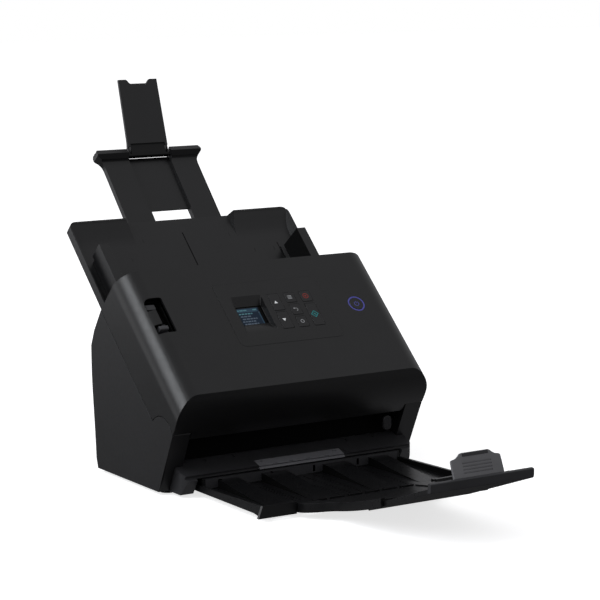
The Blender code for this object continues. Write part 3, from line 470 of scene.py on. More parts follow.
LOOKS = {
    "cover": plastic("cover_plastic", (0.0062, 0.0062, 0.0066), 0.34, specular=0.48),
    "side": plastic("side_plastic", (0.0068, 0.0068, 0.0076), 0.42, specular=0.50),
    "face": plastic("bezel_plastic", (0.0062, 0.0062, 0.0066), 0.33, specular=0.48),
    "window": plastic("window_plastic", (0.030, 0.030, 0.033), 0.40),
    "key": plastic("key_plastic", (0.0075, 0.0075, 0.0082), 0.36, specular=0.50),
    "tray": plastic("tray_plastic", (0.0068, 0.0068, 0.0074), 0.33, specular=0.50),
    "flap": plastic("flap_plastic", (0.0100, 0.0100, 0.0108), 0.33, specular=0.50),
    # shade: darker, less shiny plastic that repaint puts on faces as painted shade
    "shade": plastic("painted_shade_plastic", (0.0030, 0.0030, 0.0033), 0.34, specular=0.20),
    # gloss: glossier plastic, darker than the flap it belongs to as painted shade
    "gloss": plastic("glossy_plastic_painted_shade", (0.0020, 0.0020, 0.0022), 0.16, depth=0.0, specular=0.30),
    "ledge": plastic("ledge_plastic", (0.0250, 0.0250, 0.0270), 0.42, specular=0.50),
    "eject": plastic("eject_plastic", (0.0060, 0.0060, 0.0066), 0.30, specular=0.50),
    "grip": plastic("grip_plastic", (0.150, 0.150, 0.160), 0.40),
    "stopper": plastic("stopper_plastic", (0.165, 0.165, 0.172), 0.42),
    "bar": plastic("bar_plastic", (0.034, 0.034, 0.037), 0.45),
    "guard": plastic("guard_plastic", (0.020, 0.020, 0.022), 0.28),
    "knob": plastic("knob_plastic", (0.060, 0.060, 0.065), 0.35),
    # inner: the near-black matte finish of inner parts, also used as painted shade where repaint puts it on
    # down-, side- or inward-facing faces
    "inner": plastic("inner_plastic_and_painted_shade", (0.0020, 0.0020, 0.0021), 0.60, specular=0.1),
    # guide: black plastic taken down to almost no colour or sheen, painted shade for the dark paper path
    "guide": plastic("paper_guide_painted_shade", (0.0010, 0.0010, 0.0011), 0.50, specular=0.05),
    "rubber": plastic("foot_rubber", (0.010, 0.010, 0.010), 0.85, grain=900.0, depth=0.10, specular=0.2),
    "tyre": plastic("roller_rubber", (0.055, 0.055, 0.060), 0.75, grain=700.0, depth=0.12, specular=0.2),
    "steel": metal("brushed_steel", (0.55, 0.55, 0.56), 0.32),
    "plated": metal("plated_metal", (0.48, 0.48, 0.47), 0.30, (300.0, 300.0, 300.0)),
    "board": board_finish("board_lacquer"),
    "glass": glass_finish("scan_glass"),
    # Key prints: printed marks given an emission, a painted glow
    "white_print": lit("icon_white_painted_glow", (0.62, 0.64, 0.66), 0.60, (0.4, 0.4, 0.4)),
    "grey_print": lit("icon_grey_painted_glow", (0.30, 0.31, 0.33), 0.50, (0.2, 0.2, 0.2)),
    "red_print": lit("icon_red_painted_glow", (0.34, 0.034, 0.024), 0.60, (0.1, 0.02, 0.02)),
    "teal_print": lit("icon_teal_painted_glow", (0.02, 0.30, 0.32), 0.60, (0.01, 0.1, 0.1)),
    "blue_lamp": lit("lamp_blue", (0.07, 0.07, 0.26), 0.80, (0.03, 0.03, 0.1)),
    "screen": lit("screen_navy", (0.006, 0.012, 0.021), 0.9, (0.006, 0.010, 0.018)),
    "screen_text": lit("screen_text", (0.075, 0.100, 0.135), 0.9),
    "screen_head": lit("screen_head", (0.070, 0.170, 0.200), 0.9),
    "screen_bar": lit("screen_bar", (0.022, 0.050, 0.080), 0.9),
    "screen_border": plastic("screen_border", (0.002, 0.002, 0.002), 0.20, depth=0.0, specular=0.3),
}


def repaint(ob, look, chosen):
    """Second material on the faces that chosen(centre in mm, normal) picks, both in local axes; most calls
    use it to paint shade onto faces turned down, sideways or inwards.
    """
    ob.data.materials.append(LOOKS[look])
    for face in ob.data.polygons:
        if chosen(face.center / MM, face.normal):
            face.material_index = len(ob.data.materials) - 1


def dress(ob, body, look, slot, *nodes):
    """Give a piece its material and its body, and hide the nodes it stands for. The slot argument is not
    used.
    """
    ob.data.materials.clear()
    ob.data.materials.append(LOOKS[look])
    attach(ob, body)
    if nodes:
        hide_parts(*nodes)
    return ob


# ---------------------------------------------------------------- base body
def ear_arc(steps=28):
    return arc(*HINGE, EAR_R, PANEL_SLOPE, 160.0, steps)


def build_side_panels():
    rear = [(0, 3), (2.9, 12.7), (5.2, 41), (10, 91), (11, 126), (4.3, 142)]
    rear = [rear[0]] + curve_through(rear[1:5], 5) + [rear[5]]
    outline = [COLUMN_FOOT] + rear + [panel_yz(PANEL_LEN, PATH_DEPTH)] + ear_arc()
    column = [COLUMN_FOOT, (-112.4, 3), (-112.4, 69)] + ear_arc()
    for name, sign in (("left_side", -1), ("right_side", 1)):
        inner = BODY_HALF - WALL
        lo, hi = sorted((sign * inner, sign * BODY_HALF))
        panel = slab(name + "_skin", outline, lo, hi, SIDE)
        lo, hi = sorted((sign * (BODY_HALF - COLUMN_W), sign * (BODY_HALF - 0.2)))
        post = slab(name + "_column", column, lo, hi, SIDE)
        lo, hi = sorted((sign * 119.2, sign * 130))
        fuse(panel, post, rod(name + "_pivot", 5.0, lo, hi, HINGE))
        soften(panel, 0.9, 4)
        dress(panel, "base", "side", "body_black", name + "_panel")


def build_rear_cover():
    outer = [(-0.6, 3.2), (2.6, 13), (4.9, 41), (9.6, 91), (10.6, 126), (4.6, 140.6)]
    inner = [(1.9, 140.0), (8.0, 125.3), (7.1, 91.3), (2.4, 41.4), (0.1, 13.6), (-3.0, 3.2)]
    outer = [outer[0]] + curve_through(outer[1:5], 5) + [outer[5]]
    inner = [inner[0]] + curve_through(inner[1:5], 5) + [inner[5]]
    cover = slab("rear_shell", outer + inner, -142.2, 142.2, SIDE)
    tools = [box("housing_room", (-120.4, 120.4), (-8, 20), (128.4, 150))]
    for x, half, z0, z1 in ((-104, 6.4, 33.6, 46.4), (-76, 7.4, 33.6, 47.4), (-46, 9.0, 33.6, 49.4)):
        tools.append(slab("window", rounded(x - half, x + half, z0, z1, 1.5), -20, 20, FRONT))
    for i in range(9):
        x = 30 + 10 * i
        tools.append(slab("vent", rounded(x - 1.8, x + 1.8, 60, 92, 1.7), -30, 20, FRONT))
    recess = rounded(-118, -30, 28, 55, 3)
    tools.append(slab("socket_recess", recess, -20, -4.6, FRONT))
    cut(cover, *tools)
    soften(cover, 0.45, 2)
    dress(cover, "base", "side", "body_black", "rear_cover")


def build_tub():
    tub = box("base_pan", (-142.2, 142.2), (-111.6, -3.4), (2.6, 20.2))
    fuse(tub, box("front", (-125.2, 125.2), (-121.5, -100), (2.6, 20.2)))
    tools = [box("pocket", (-119.6, 119.6), (-130, -9), (4.4, 18.4))]
    for i in range(7):
        x = -96 + 32 * i
        tools.append(slab("pan_vent", rounded(x - 9, x + 9, -40, -36.5, 1.7), -1, 3.4, PLAN))
        tools.append(slab("pan_vent", rounded(x - 9, x + 9, -60, -56.5, 1.7), -1, 3.4, PLAN))
    cut(tub, *tools)
    soften(tub, 0.5, 2)
    dress(tub, "base", "inner", "inner_black", "base_tub")


def build_ledge():
    top = [(-121.9, 31.6), (-126, 31.0), (-149.6, 21.9)]
    nose = arc(-150.5, 19.5, 2.4, 66, -12, 8)
    outline = top + nose + [(-151.9, 17.0), (-143.4, 2.8), (-121.9, 2.8)]
    ledge = slab("paper_ledge", outline, -134, 134, SIDE)
    behind = [(column_face_y(-5) - 0.45, -5), (column_face_y(70) - 0.45, 70), (-90, 70), (-90, -5)]
    tools = [slab("column_room", behind, lo, hi, SIDE) for _, lo, hi in both_sides(125.2, 150)]
    tools.append(box("tray_mouth", (-119.6, 119.6), (-170, -110), (-6, 18.4)))
    recess = [(-139.6, 24.2), (-150.4, 19.9), (-151.2, 19.0), (-151.3, 17.0), (-156, 17.0), (-156, 32),
              (-139.6, 32)]
    tools.append(slab("grip_recess", recess, -49.6, 50.6, SIDE))
    for x in (-98, -66, 66, 98):
        tools.append(box("rib_slot", (x - 1.2, x + 1.2), (-5.6, -1.4), (-1.2, 3), LEDGE))
    facet = [(50.7, -15.4), (62, -28), (62, -32), (50.7, -32)]
    tools.append(slab("facet", facet, -0.9, 4, LEDGE))
    common(ledge, slab("plan", rounded(-134, 134, -153.5, -100, (12, 12, 0, 0), 12), -5, 40, PLAN))
    cut(ledge, *tools)
    soften(ledge, 0.6, 3)
    dress(ledge, "base", "ledge", "body_black", "exit_ledge")

    wrap = [(-140.2, 25.4), (-149.8, 21.7)] + arc(-150.4, 19.4, 2.3, 70, -15, 7)
    wrap += [(-151.4, 18.7), (-151.4, 19.2), (-150.6, 20.1), (-139.9, 24.4)]
    grip = slab("ledge_insert", wrap, -49.2, 50.2, SIDE)
    slots = []
    for x, s in ((-43, -18.2), (43, -18.2), (-30, -24.4), (-12, -24.4), (8, -24.4), (30, -24.4)):
        slots.append(box("slot", (x - 2.4, x + 2.4), (s - 0.7, s + 0.7), (-0.9, 3), LEDGE))
    cut(grip, *slots)
    soften(grip, 0.25, 2)
    dress(grip, "base", "grip", "grip_grey", "ledge_grip")


def build_lower_path():
    """Ribs that guide the sheets, and the small guard that the front unit carries at the exit."""
    bm = bmesh.new()
    for x in range(-112, 113, 14):
        if abs(x) in (14, 28, 42, 56, 70):
            continue
        for s0, s1 in ((54.5, 99), (-3, 31)):
            add_prism(bm, [(x - 0.5, s0), (x + 0.5, s0), (x + 0.5, s1), (x - 0.5, s1)], -60.2, -59.3)
    ribs = to_object("lower_guide_ribs", bm, PANEL)
    # The ribs take the guide finish, whose near-zero colour is painted shade of the exit cavity
    dress(ribs, "base", "guide", "inner_black")
    guard = slab("exit_guard", rounded(105.8, 116.4, 36.2, 51.4, 4.6, 10), 135.4, 138.4, FRONT)
    soften(guard, 1.3, 4)
    dress(guard, "front_unit", "guard", "grip_grey")


def build_feet():
    for name, x, y in (("front_left", -130, -112), ("front_right", 130, -112),
                       ("rear_left", -128, -18), ("rear_right", 128, -18)):
        profile = [(2.3, 0), (2.3, 7.9), (1.8, 8.0), (0.5, 7.9), (0, 7.3), (0, 5.2), (0.35, 4.9), (0.35, 0)]
        foot = lathe("rubber_foot_" + name, profile, axes((x, y, 0), (1, 0, 0), (0, 1, 0)), 48)
        soften(foot, 0)
        dress(foot, "base", "rubber", "rubber", "foot_" + name)


# ------------------------------------------------------------------- rollers
def build_roller(name, node, body, centre, shaft_pieces, tyres):
    """Steel shaft with pulleys and grooved rubber tyres."""
    profile = []
    for x0, x1, r in shaft_pieces:
        profile += [(x0, r - 0.3), (x0 + 0.3, r), (x1 - 0.3, r), (x1, r - 0.3)]
    profile = [(profile[0][0], 0)] + profile + [(profile[-1][0], 0)]
    place = axes((0, *centre), (0, 1, 0), (0, 0, 1))
    shaft = lathe(name + "_shaft", profile, place, 48)
    soften(shaft, 0)
    dress(shaft, body, "steel", "steel", node)
    core = shaft_pieces[0][2]
    for i, (x0, x1, r) in enumerate(tyres):
        grooves = []
        count = max(2, round((x1 - x0) / 4))
        for k in range(count):
            a = x0 + (x1 - x0) * k / count
            b = x0 + (x1 - x0) * (k + 1) / count
            grooves += [(a + 0.2, r - 0.5), (a + 0.6, r), (b - 0.6, r), (b - 0.2, r - 0.5)]
        profile = [(x0, core), (x0, r - 0.8)] + grooves + [(x1, r - 0.8), (x1, core)]
        tyre = lathe(f"{name}_tyre_{i + 1}", profile, place, 64, closed=True)
        soften(tyre, 0)
        dress(tyre, body, "tyre", "roller_grey")


def build_rollers():
    feed, drive, out = panel_yz(95, -73.5), panel_yz(70, -66.5), panel_yz(14, -66.5)
    build_roller("pick", "feed_roller", "feed_roller", feed,
                 [(-140, -138, 3), (-138, -132, 10), (-132, 132, 3), (132, 138, 8), (138, 140, 3)],
                 [(-35, -5, 15), (5, 35, 15)])
    build_roller("transport", "drive_roller", "drive_roller", drive,
                 [(-131, 132, 3), (132, 138, 4.3), (138, 140, 3)], [(-75, -45, 8), (45, 75, 8)])
    build_roller("exit", "eject_roller", "eject_roller", out,
                 [(-131, 132, 3), (132, 138, 4.3), (138, 140, 3)], [(-70, -40, 8), (40, 70, 8)])
    build_roller("retard", "separation_roller", "separation_roller", panel_yz(95, -44.6),
                 [(-40, 40, 3)], [(-28, -12, 12), (12, 28, 12)])
    build_roller("pinch", "pinch_roller", "pinch_roller", panel_yz(70, -51),
                 [(-90, 90, 2.5)], [(-74, -46, 6), (46, 74, 6)])
    build_roller("top_exit", "upper_eject_roller", "upper_eject_roller", panel_yz(14, -51),
                 [(-90, 90, 2.5)], [(-69, -41, 6), (41, 69, 6)])


# -------------------------------------------------------------- front unit
def cover_block(name, inset):
    half = BODY_HALF - inset
    r = EDGE_R - inset
    section = [(-half, -80), (half, -80)]
    section += arc(half - r, -inset - r, r, 0, 90, 20)
    section += arc(-half + r, -inset - r, r, 90, 180, 20)
    a = math.radians(PANEL_SLOPE)
    across = axes((0, *CREASE), (1, 0, 0), (0, -math.sin(a), math.cos(a)))
    return slab(name, section, -(PANEL_LEN - inset), 80, across)


def cover_profile(inset, low):
    heights = [102.5 - i * (102.5 - 56.0) / 24 for i in range(25)]
    face = [(front_face_y(z) + inset, z) for z in heights]
    top = PANEL_LEN + (20 if inset else 0)
    start = [panel_yz(top, 20 if inset else 0)]
    if inset:
        face = [panel_yz(30, 20), (face[0][0], 140)] + face + [(front_face_y(56) + inset, 50)]
    return start + face + [panel_yz(-3, low), panel_yz(top, low)]


LEVER_SLOT = (-133.6, -114.0, 75.6, 118.2)
BEZEL = (-53.0, 68.0, 48.5, 126.0)
POWER = (100.5, 86.3)
KEYS = {
    "key_up": (3.2, 15.6, 87.9, 108.6),
    "key_down": (3.2, 15.6, 64.9, 85.6),
    "key_menu": (22.2, 33.6, 96.2, 108.6),
    "key_back": (22.2, 33.6, 80.6, 93.6),
    "key_ok": (22.2, 33.6, 64.9, 78.0),
    "key_stop": (40.2, 52.4, 95.4, 108.6),
    "key_start": (40.2, 52.4, 64.9, 92.6),
}
WINDOW = (-39.8, -4.0, 64.4, 109.6)
SCREEN_WINDOW = (-34.4, -5.2, 78.6, 100.8)


def build_cover():
    cover = cover_block("front_shell", 0.0)
    common(cover, slab("outer_profile", cover_profile(0.0, -56.4), -160, 160, SIDE))
    inside = cover_block("inside", SKIN)
    common(inside, slab("inner_profile", cover_profile(SKIN, -75), -160, 160, SIDE))
    cut(cover, inside)
    tools = [rod("ear_room", EAR_R + 0.7, lo, hi, HINGE, 72) for _, lo, hi in both_sides(124.2, 150)]
    x0, x1, y0, y1 = LEVER_SLOT
    arched = rounded(x0, x1, y0, y1, (1.5, 1.5, 2.5, 6.0), 8)
    tools.append(slab("slot", arched, -12, 6, PANEL))
    x0, x1, y0, y1 = BEZEL
    hole = rounded(x0 - 0.3, x1 + 0.3, y0 - 0.3, y1 + 0.3, (7.3, 7.3, 3.3, 3.3))
    tools.append(slab("hole", hole, -12, 6, PANEL))
    tools.append(slab("power", arc(*POWER, 9.6, 0, 355, 71), -12, 6, PANEL))
    cut(cover, *tools)
    soften(cover, 0.55, 3)
    dress(cover, "front_unit", "cover", "front_black", "front_cover")


def funnel(name, mouth, throat, top):
    """Window that narrows from the bezel's face to the display."""
    steps = ((throat, -9.0, 0.5), (throat, -6.3, 0.5), (mouth, 0.0, 2.2), (mouth, top, 2.2))
    return skin(name, [(rounded(*room, r, 5), z) for room, z, r in steps], PANEL)


def build_bezel():
    x0, x1, y0, y1 = BEZEL
    bezel = slab("panel_bezel", rounded(x0, x1 + 0.26, y0, y1 + 0.26, (7, 7, 3, 3)), -5.0, 0.0, PANEL)
    fuse(bezel, box("collar", (-41, -1), (63, 111), (-6.4, -4.0), PANEL))
    tools = [funnel("funnel", WINDOW, SCREEN_WINDOW, 3.0)]
    for kx0, kx1, ky0, ky1 in KEYS.values():
        tools.append(slab("well", rounded(kx0 - 0.35, kx1 + 0.35, ky0 - 0.35, ky1 + 0.35, 1.5, 4), -9, 4,
                          PANEL))
    cut(bezel, *tools)
    soften(bezel, 0.28, 2)
    dress(bezel, "front_unit", "face", "front_black", "control_bezel")


def text_bars(seed, s, x0, x1):
    """Short bars that stand for words on the display."""
    draw = random.Random(seed)
    bars = []
    x = x0
    while x < x1 - 1.5:
        step = draw.uniform(1.6, 4.2)
        end = min(x + step, x1)
        bars.append(rounded(x, end, s - 0.75, s + 0.75, 0.3, 2))
        x = end + 0.7
    return bars


def build_display():
    base = slab("display_module", rounded(-37.2, -3.4, 76, 103.2, 0.6, 3), -9.0, -7.05, PANEL)
    soften(base, 0.2, 2)
    dress(base, "front_unit", "screen_border", "display", "display")
    lit_area = slab("display_lit", rounded(-34.8, -9.2, 77.2, 99.6, 0.3, 2), -7.10, -7.0, PANEL)
    dress(lit_area, "front_unit", "screen", "display")
    bars = [rounded(-34.4, -10.6, 94.6, 98.8, 0.2, 2), rounded(-10.6, -9.5, 78.2, 93.8, 0.2, 2)]
    dress(plates("display_bars", bars, -7.04, -6.96, PANEL), "front_unit", "screen_bar", "display")
    heads = text_bars(1, 97.0, -33.8, -22.0) + text_bars(2, 97.0, -16.0, -11.4)
    heads += text_bars(3, 92.6, -33.4, -18.0)
    dress(plates("display_head", heads, -6.98, -6.90, PANEL), "front_unit", "screen_head", "display")
    rows = []
    for i, (first, last) in enumerate(((-33, -19), (-32, -15), (-33, -18), (-32, -16))):
        rows += text_bars(i + 5, 89.4 - 3.2 * i, first, last)
    rows += [[(-10.9, 93.0), (-9.3, 93.0), (-10.1, 94.2)], [(-10.9, 79.0), (-10.1, 77.8), (-9.3, 79.0)]]
    dress(plates("display_rows", rows, -6.98, -6.90, PANEL), "front_unit", "screen_text", "display")
    board = box("control_board", (-50, 65), (52, 122), (-11.4, -9.8), PANEL)
    soften(board, 0.2, 1)
    dress(board, "front_unit", "board", "board_green", "panel_board")


def key_solid(name, bounds):
    """Key cap with a slightly hollowed top and rounded edges."""
    x0, x1, y0, y1 = bounds
    levels = []
    for inset, z, r in ((0, -6.5, 1.2), (0, 0.05, 1.2), (0.10, 0.18, 1.1), (0.3, 0.27, 0.9), (0.7, 0.29, 0.7),
                        (1.6, 0.24, 0.5)):
        levels.append((rounded(x0 + inset, x1 - inset, y0 + inset, y1 - inset, r, 4), z))
    return skin(name, levels, PANEL)


def icon_shapes():
    """Icons as outlines in panel millimetres."""
    return {
        "key_up": [[(6.9, 96.6), (10.9, 96.6), (8.9, 99.9)]],
        "key_down": [[(6.7, 77.2), (8.7, 73.9), (10.7, 77.2)]],
        "key_menu": [rounded(25.0, 29.8, y, y + 0.7, 0.2, 2) for y in (100.6, 102.2, 103.8)],
        "key_back": [stroke(arc(28.0, 86.7, 1.6, -90, 90, 10) + [(26.2, 88.3)], 0.5),
                     [(26.4, 87.1), (26.4, 89.5), (25.0, 88.3)]],
    }


def build_keys():
    tops = icon_shapes()
    # The icon prints glow through their emission, which is painted light
    looks = {"key_up": "white_print", "key_down": "white_print", "key_menu": "grey_print",
             "key_back": "grey_print"}
    for name, bounds in KEYS.items():
        cap = key_solid(name + "_cap", bounds)
        soften(cap, 0)
        dress(cap, name, "key", "key_black", name)
        if name in tops:
            icon = plates(name + "_icon", tops[name], 0.20, 0.295, PANEL)
            dress(icon, name, looks[name], "key_black")
    rings = {
        "key_ok": ((28.0, 71.6), 1.5, 2.1, 24, "grey_print"),
        "key_stop": ((46.2, 102.2), 2.6, 3.1, 32, "red_print"),
        "key_start": ((46.2, 78.9), 3.5, 4.2, 4, "teal_print"),
    }
    for name, ((x, y), inner, outer, count, look) in rings.items():
        turn = 360 - 360 / count
        bm = bmesh.new()
        add_ring(bm, arc(x, y, inner, 0, turn, count - 1), arc(x, y, outer, 0, turn, count - 1), 0.20, 0.295)
        if name == "key_stop":
            add_prism(bm, [(45.5, 101.4), (46.9, 101.4), (46.9, 103.0), (45.5, 103.0)], 0.20, 0.295)
        if name == "key_start":
            add_prism(bm, stroke([(45.1, 80.2), (47.3, 77.6)], 0.7), 0.20, 0.295)
        dress(to_object(name + "_icon", bm, PANEL), name, look, "key_black")


def build_power():
    place = axes((POWER[0], *panel_yz(POWER[1], 0)), (1, 0, 0), PANEL.to_3x3() @ Vector((0, 1, 0)))
    ring = lathe("power_lamp", [(-5, 8.1), (0.05, 8.1), (0.20, 8.25), (0.20, 8.95), (0.05, 9.15), (-5, 9.15)],
                 place, 96, closed=True)
    soften(ring, 0)
    dress(ring, "front_unit", "blue_lamp", "ring_blue", "power_ring")
    dished = [(-6, 0), (-6, 7.6), (-0.2, 7.6), (0.1, 7.45), (0.3, 7.0), (0.12, 5.0), (0.0, 0)]
    cap = lathe("power_cap", dished, place, 96)
    soften(cap, 0)
    dress(cap, "power_button", "key", "key_black", "power_button")
    bm = bmesh.new()
    add_prism(bm, stroke(arc(0, -0.2, 2.6, -235, 55, 20), 0.6), 0.02, 0.16)
    add_prism(bm, stroke([(0, 0.2), (0, 3.0)], 0.6), 0.02, 0.16)
    dress(to_object("power_icon", bm, place), "power_button", "blue_lamp", "ring_blue")


def build_lever():
    x0, x1, y0, y1 = LEVER_SLOT
    pocket = box("lever_well", (-134.8, -112.8), (74.4, 119.6), (-14.5, -6.6), PANEL)
    cut(pocket, box("room", (x0, x1), (y0, y1), (-13.0, 0), PANEL))
    soften(pocket, 0.4, 2)
    dress(pocket, "front_unit", "inner", "inner_black", "lever_pocket")
    shelf = box("lever_shelf", (-133.5, -125.0), (86.9, 104.2), (-13.0, 1.0), PANEL)
    common(shelf, cover_block("shelf_face", 0.35))
    soften(shelf, 0.5, 2)
    dress(shelf, "front_unit", "cover", "front_black")
    step = slab("lever_step", rounded(-132.6, -122.6, 106.4, 112.6, 0.8, 4), -13.0, -3.2, PANEL)
    soften(step, 0.4, 2)
    dress(step, "front_unit", "bar", "front_black")
    knob = [(-12.4, 80.6), (-4.4, 80.6)] + arc(-3.2, 82.4, 1.7, -90, 0, 6) + arc(-3.2, 84.1, 1.7, 0, 90, 6)
    knob = [(s, n) for n, s in knob + [(-12.4, 85.8)]]
    lever = slab("release_knob", knob, -129.5, -119.8, PANEL @ ON_EDGE)
    fuse(lever, box("stem", (-122.0, -117.6), (81.0, 91.0), (-12.0, -8.0), PANEL))
    soften(lever, 0.5, 3)
    dress(lever, "open_lever", "knob", "grip_grey", "open_lever")


# --------------------------------------------------------------- feed tray
RACK_S = -84.0


def build_feed_tray():
    plan = rounded(-TRAY_HALF, TRAY_HALF, -121, 0, (3, 3, 8.5, 8.5), 12)
    tray = slab("sheet_tray", plan, -12.0, 0.0, TRAY)
    section = rounded(-TRAY_HALF, TRAY_HALF, -12.0, 0, (3.2, 3.2, 0, 0), 8)
    common(tray, slab("rim", section, -8, 130, TRAY_DOWN))
    ramp = curve_through([(-30, PAPER_N), (-26, -8.3), (-21, -7.6), (-14, -5.4), (-8, -2.9), (-3.2, -0.9),
                          (-1.2, 0.8)], 6)
    line = [(-130, PAPER_N)] + ramp + [(-1.2, 8), (-130, 8)]
    dish = slab("dish", [tray_yz(s, n) for s, n in line], -132, 132, SIDE)
    walls = [(-126, -10), (126, -10), (126, PAPER_N), (131.6, 1), (131.6, 10), (-131.6, 10), (-131.6, 1),
             (-126, PAPER_N)]
    common(dish, slab("walls", walls, -3, 132, TRAY_DOWN))
    notch = [(-65.6, 1), (-61, PAPER_N), (61, PAPER_N), (65.6, 1), (65.6, 8), (-65.6, 8)]
    tools = [dish, slab("notch", notch, -6, 60, TRAY_DOWN)]
    tools += [box("foot_line", (lo, hi), (-62, -41), (PAPER_N - 0.8, 4), TRAY) for _, lo, hi in
              both_sides(104.6, 105.5)]
    tools.append(box("underside", (-116, 116), (-118.5, 6), (-20, PAPER_N - 1.8), TRAY))
    for sign in (-1, 1):
        x0, x1 = sorted((sign * 34, sign * 119))
        s = RACK_S - sign * 8.0
        tools.append(box("rack_slot", (x0, x1), (s - 2.3, s + 2.3), (-14, -4), TRAY))
    tools.append(box("centre_groove", (-2.7, -1.5), (-62, -18), (PAPER_N - 1.0, 4), TRAY))
    for x, s in ((-98, -46), (-74, -46), (-52, -23), (52, -23), (74, -46), (98, -46)):
        tools.append(box("size_mark", (x - 0.2, x + 0.2), (s - 5, s), (PAPER_N - 0.2, 4), TRAY))
    cut(tray, *tools)
    soften(tray, 0.5, 3)
    dress(tray, "base", "tray", "tray_black", "feed_tray")
    # Painted shade: the dish's side walls and the notch's sloped sides, which face sideways, take the darker
    # shade finish
    repaint(tray, "shade", lambda c, n: abs(n.x) > 0.5 and abs(c.x) < 132 and c.z > -9)


def build_tray_back():
    back_line = [ext_yz(-1, -9), tray_yz(-2, -12.4), tray_yz(-120.4, -12.4), (1.2, 146.4)]
    foot = [(3.4, 136), (3.4, 121), (6.2, 121), (6.2, 128.9), (10.7, 128.9), (12.0, 133.5), ext_yz(-101, -9)]
    back = slab("tray_housing", back_line + foot, -120, 120, SIDE)
    room = [ext_yz(8, -7.2), ext_yz(-99, -7.2), ext_yz(-99, 30), ext_yz(8, 30)]
    tools = [slab("extension_room", room, -58.4, 58.4, SIDE)]
    side = [ext_yz(-8, -6.6), ext_yz(-98, -6.6), ext_yz(-98, 30), ext_yz(-8, 30)]
    for _, lo, hi in both_sides(60.8, 117.6):
        tools.append(slab("pocket", side, lo, hi, SIDE))
    tools.append(box("rack_room", (-118.4, 118.4), (RACK_S - 11.5, RACK_S + 11.5), (-16.2, 0), TRAY))
    for x in (-90, 90):
        for i in range(5):
            s = -34 - 6 * i
            tools.append(box("back_groove", (x - 16, x + 16), (s, s + 2), (-12, -8.5), EXT))
    cut(back, *tools)
    soften(back, 0.7, 3)
    dress(back, "base", "side", "body_black", "tray_back_housing")


def build_guides():
    for name, sign in (("left", -1), ("right", 1)):
        section = [(119.5, -8.2), (119.5, 1.2), (123.75, 2.4), (123.75, 22.2), (113.3, 22.2), (109.5, -6.0),
                   (106.0, -6.9), (106.0, -8.2)]
        section = [(sign * x, n) for x, n in section]
        fence = slab(name + "_fence", section, 47.8, 115.5, TRAY_DOWN)
        hollow = [(sign * x, n) for x, n in ((118.2, -4.0), (122.2, 4.4), (122.2, 20.4), (116.5, 20.4),
                                             (113.5, -4.0))]
        cut(fence, slab("hollow", hollow, 50.2, 130, TRAY_DOWN))
        s = RACK_S - sign * 8.0
        x0, x1 = sorted((sign * -12, sign * 117))
        rack = box("rack", (x0, x1), (s - 1.9, s + 1.9), (-14.8, -12.8), TRAY)
        x0, x1 = sorted((sign * 110.5, sign * 113.8))
        fuse(fence, rack, box("post", (x0, x1), (s - 1.8, s + 1.8), (-14.0, -7.6), TRAY))
        soften(fence, 0.55, 3)
        dress(fence, name + "_guide", "tray", "tray_black", name + "_guide")
        # Painted shade: the guide's inward face takes the near-black inner finish
        repaint(fence, "inner", lambda c, n, inward=-sign: n.x * inward > 0.5 and c.y > -6)


def build_pinion():
    teeth = 12
    outline = []
    for i in range(teeth * 8):
        phase = i % 8
        r = 5.5 if phase in (2, 3, 4) else 4.6 if phase in (6, 7) else 5.1
        a = 2 * math.pi * (i + 0.5) / (teeth * 8)
        outline.append((r * math.cos(a), RACK_S + r * math.sin(a)))
    wheel = slab("guide_gear", outline, -14.9, -12.7, TRAY)
    cut(wheel, slab("bore", arc(0, RACK_S, 1.3, 0, 345, 23), -20, -10, TRAY))
    soften(wheel, 0.12, 1)
    dress(wheel, "guide_pinion", "inner", "inner_black", "guide_pinion")


# ------------------------------------------------------- extension and flap
def build_extension():
    """Plate with a hole to see through, a channel for the flap and two end bars."""
    shoulder = curve_through([(56.5, 74), (57.2, 79), (59.4, 83.5), (62.2, 86.0), (63.3, 87.5)], 4)
    right = [(56.5, -26)] + shoulder + [(63.3, 94.5), (26, 94.5), (26, 87.5), (24.4, 87.5)]
    plan = right + [(-x, s) for x, s in right[::-1]]
    plate = slab("extension_plate", plan, -6.0, 0.0, EXT)
    bar = [(77, -3)] + curve_through([(77, 0), (79.5, 0.2), (81.8, 1.2), (83.6, 3.5)], 5)
    bar += [(88.6, 6.8), (94.5, 5.0), (92.9, 1.0), (88.5, -3.0)]
    bars = []
    for _, lo, hi in both_sides(26.0, 63.3):
        bars.append(slab("bar", [ext_yz(s, n) for s, n in bar], lo, hi, SIDE))
    fuse(plate, *bars)
    outer = [(70, 70), (56.5, 70)] + shoulder + [(63.3, 88), (63.3, 91), (61.9, 94.5), (61.9, 97), (70, 97)]
    trims = [slab("trim", [(sign * x, s) for x, s in outer], -9, 9, EXT) for sign in (-1, 1)]
    trims.append(box("channel", (-25.2, 25.2), (17, 97), (-4.0, 9), EXT))
    trims.append(box("view_hole", (-23.7, 23.7), (-0.2, 18.7), (-10, 8), EXT))
    for _, lo, hi in both_sides(27, 52):
        trims.append(box("relief", (lo, hi), (-22, 72), (-8, -2.4), EXT))
    trims.append(rod("pin_bore", 1.5, -60, 60, ext_yz(FLAP_AT, 0), 24))
    cut(plate, *trims)
    soften(plate, 0.45, 3)
    dress(plate, "tray_extension", "tray", "tray_black", "tray_extension")
    # Painted shade: faces of the end bars turned down the slope take the darker shade finish
    repaint(plate, "shade", lambda c, n: n.y < -0.45 and c.z > 3)
    pin = rod("flap_axle", 1.2, -38, 38, ext_yz(FLAP_AT, 0), 24)
    soften(pin, 0.2, 2)
    dress(pin, "tray_extension", "steel", "steel", "flap_pin")


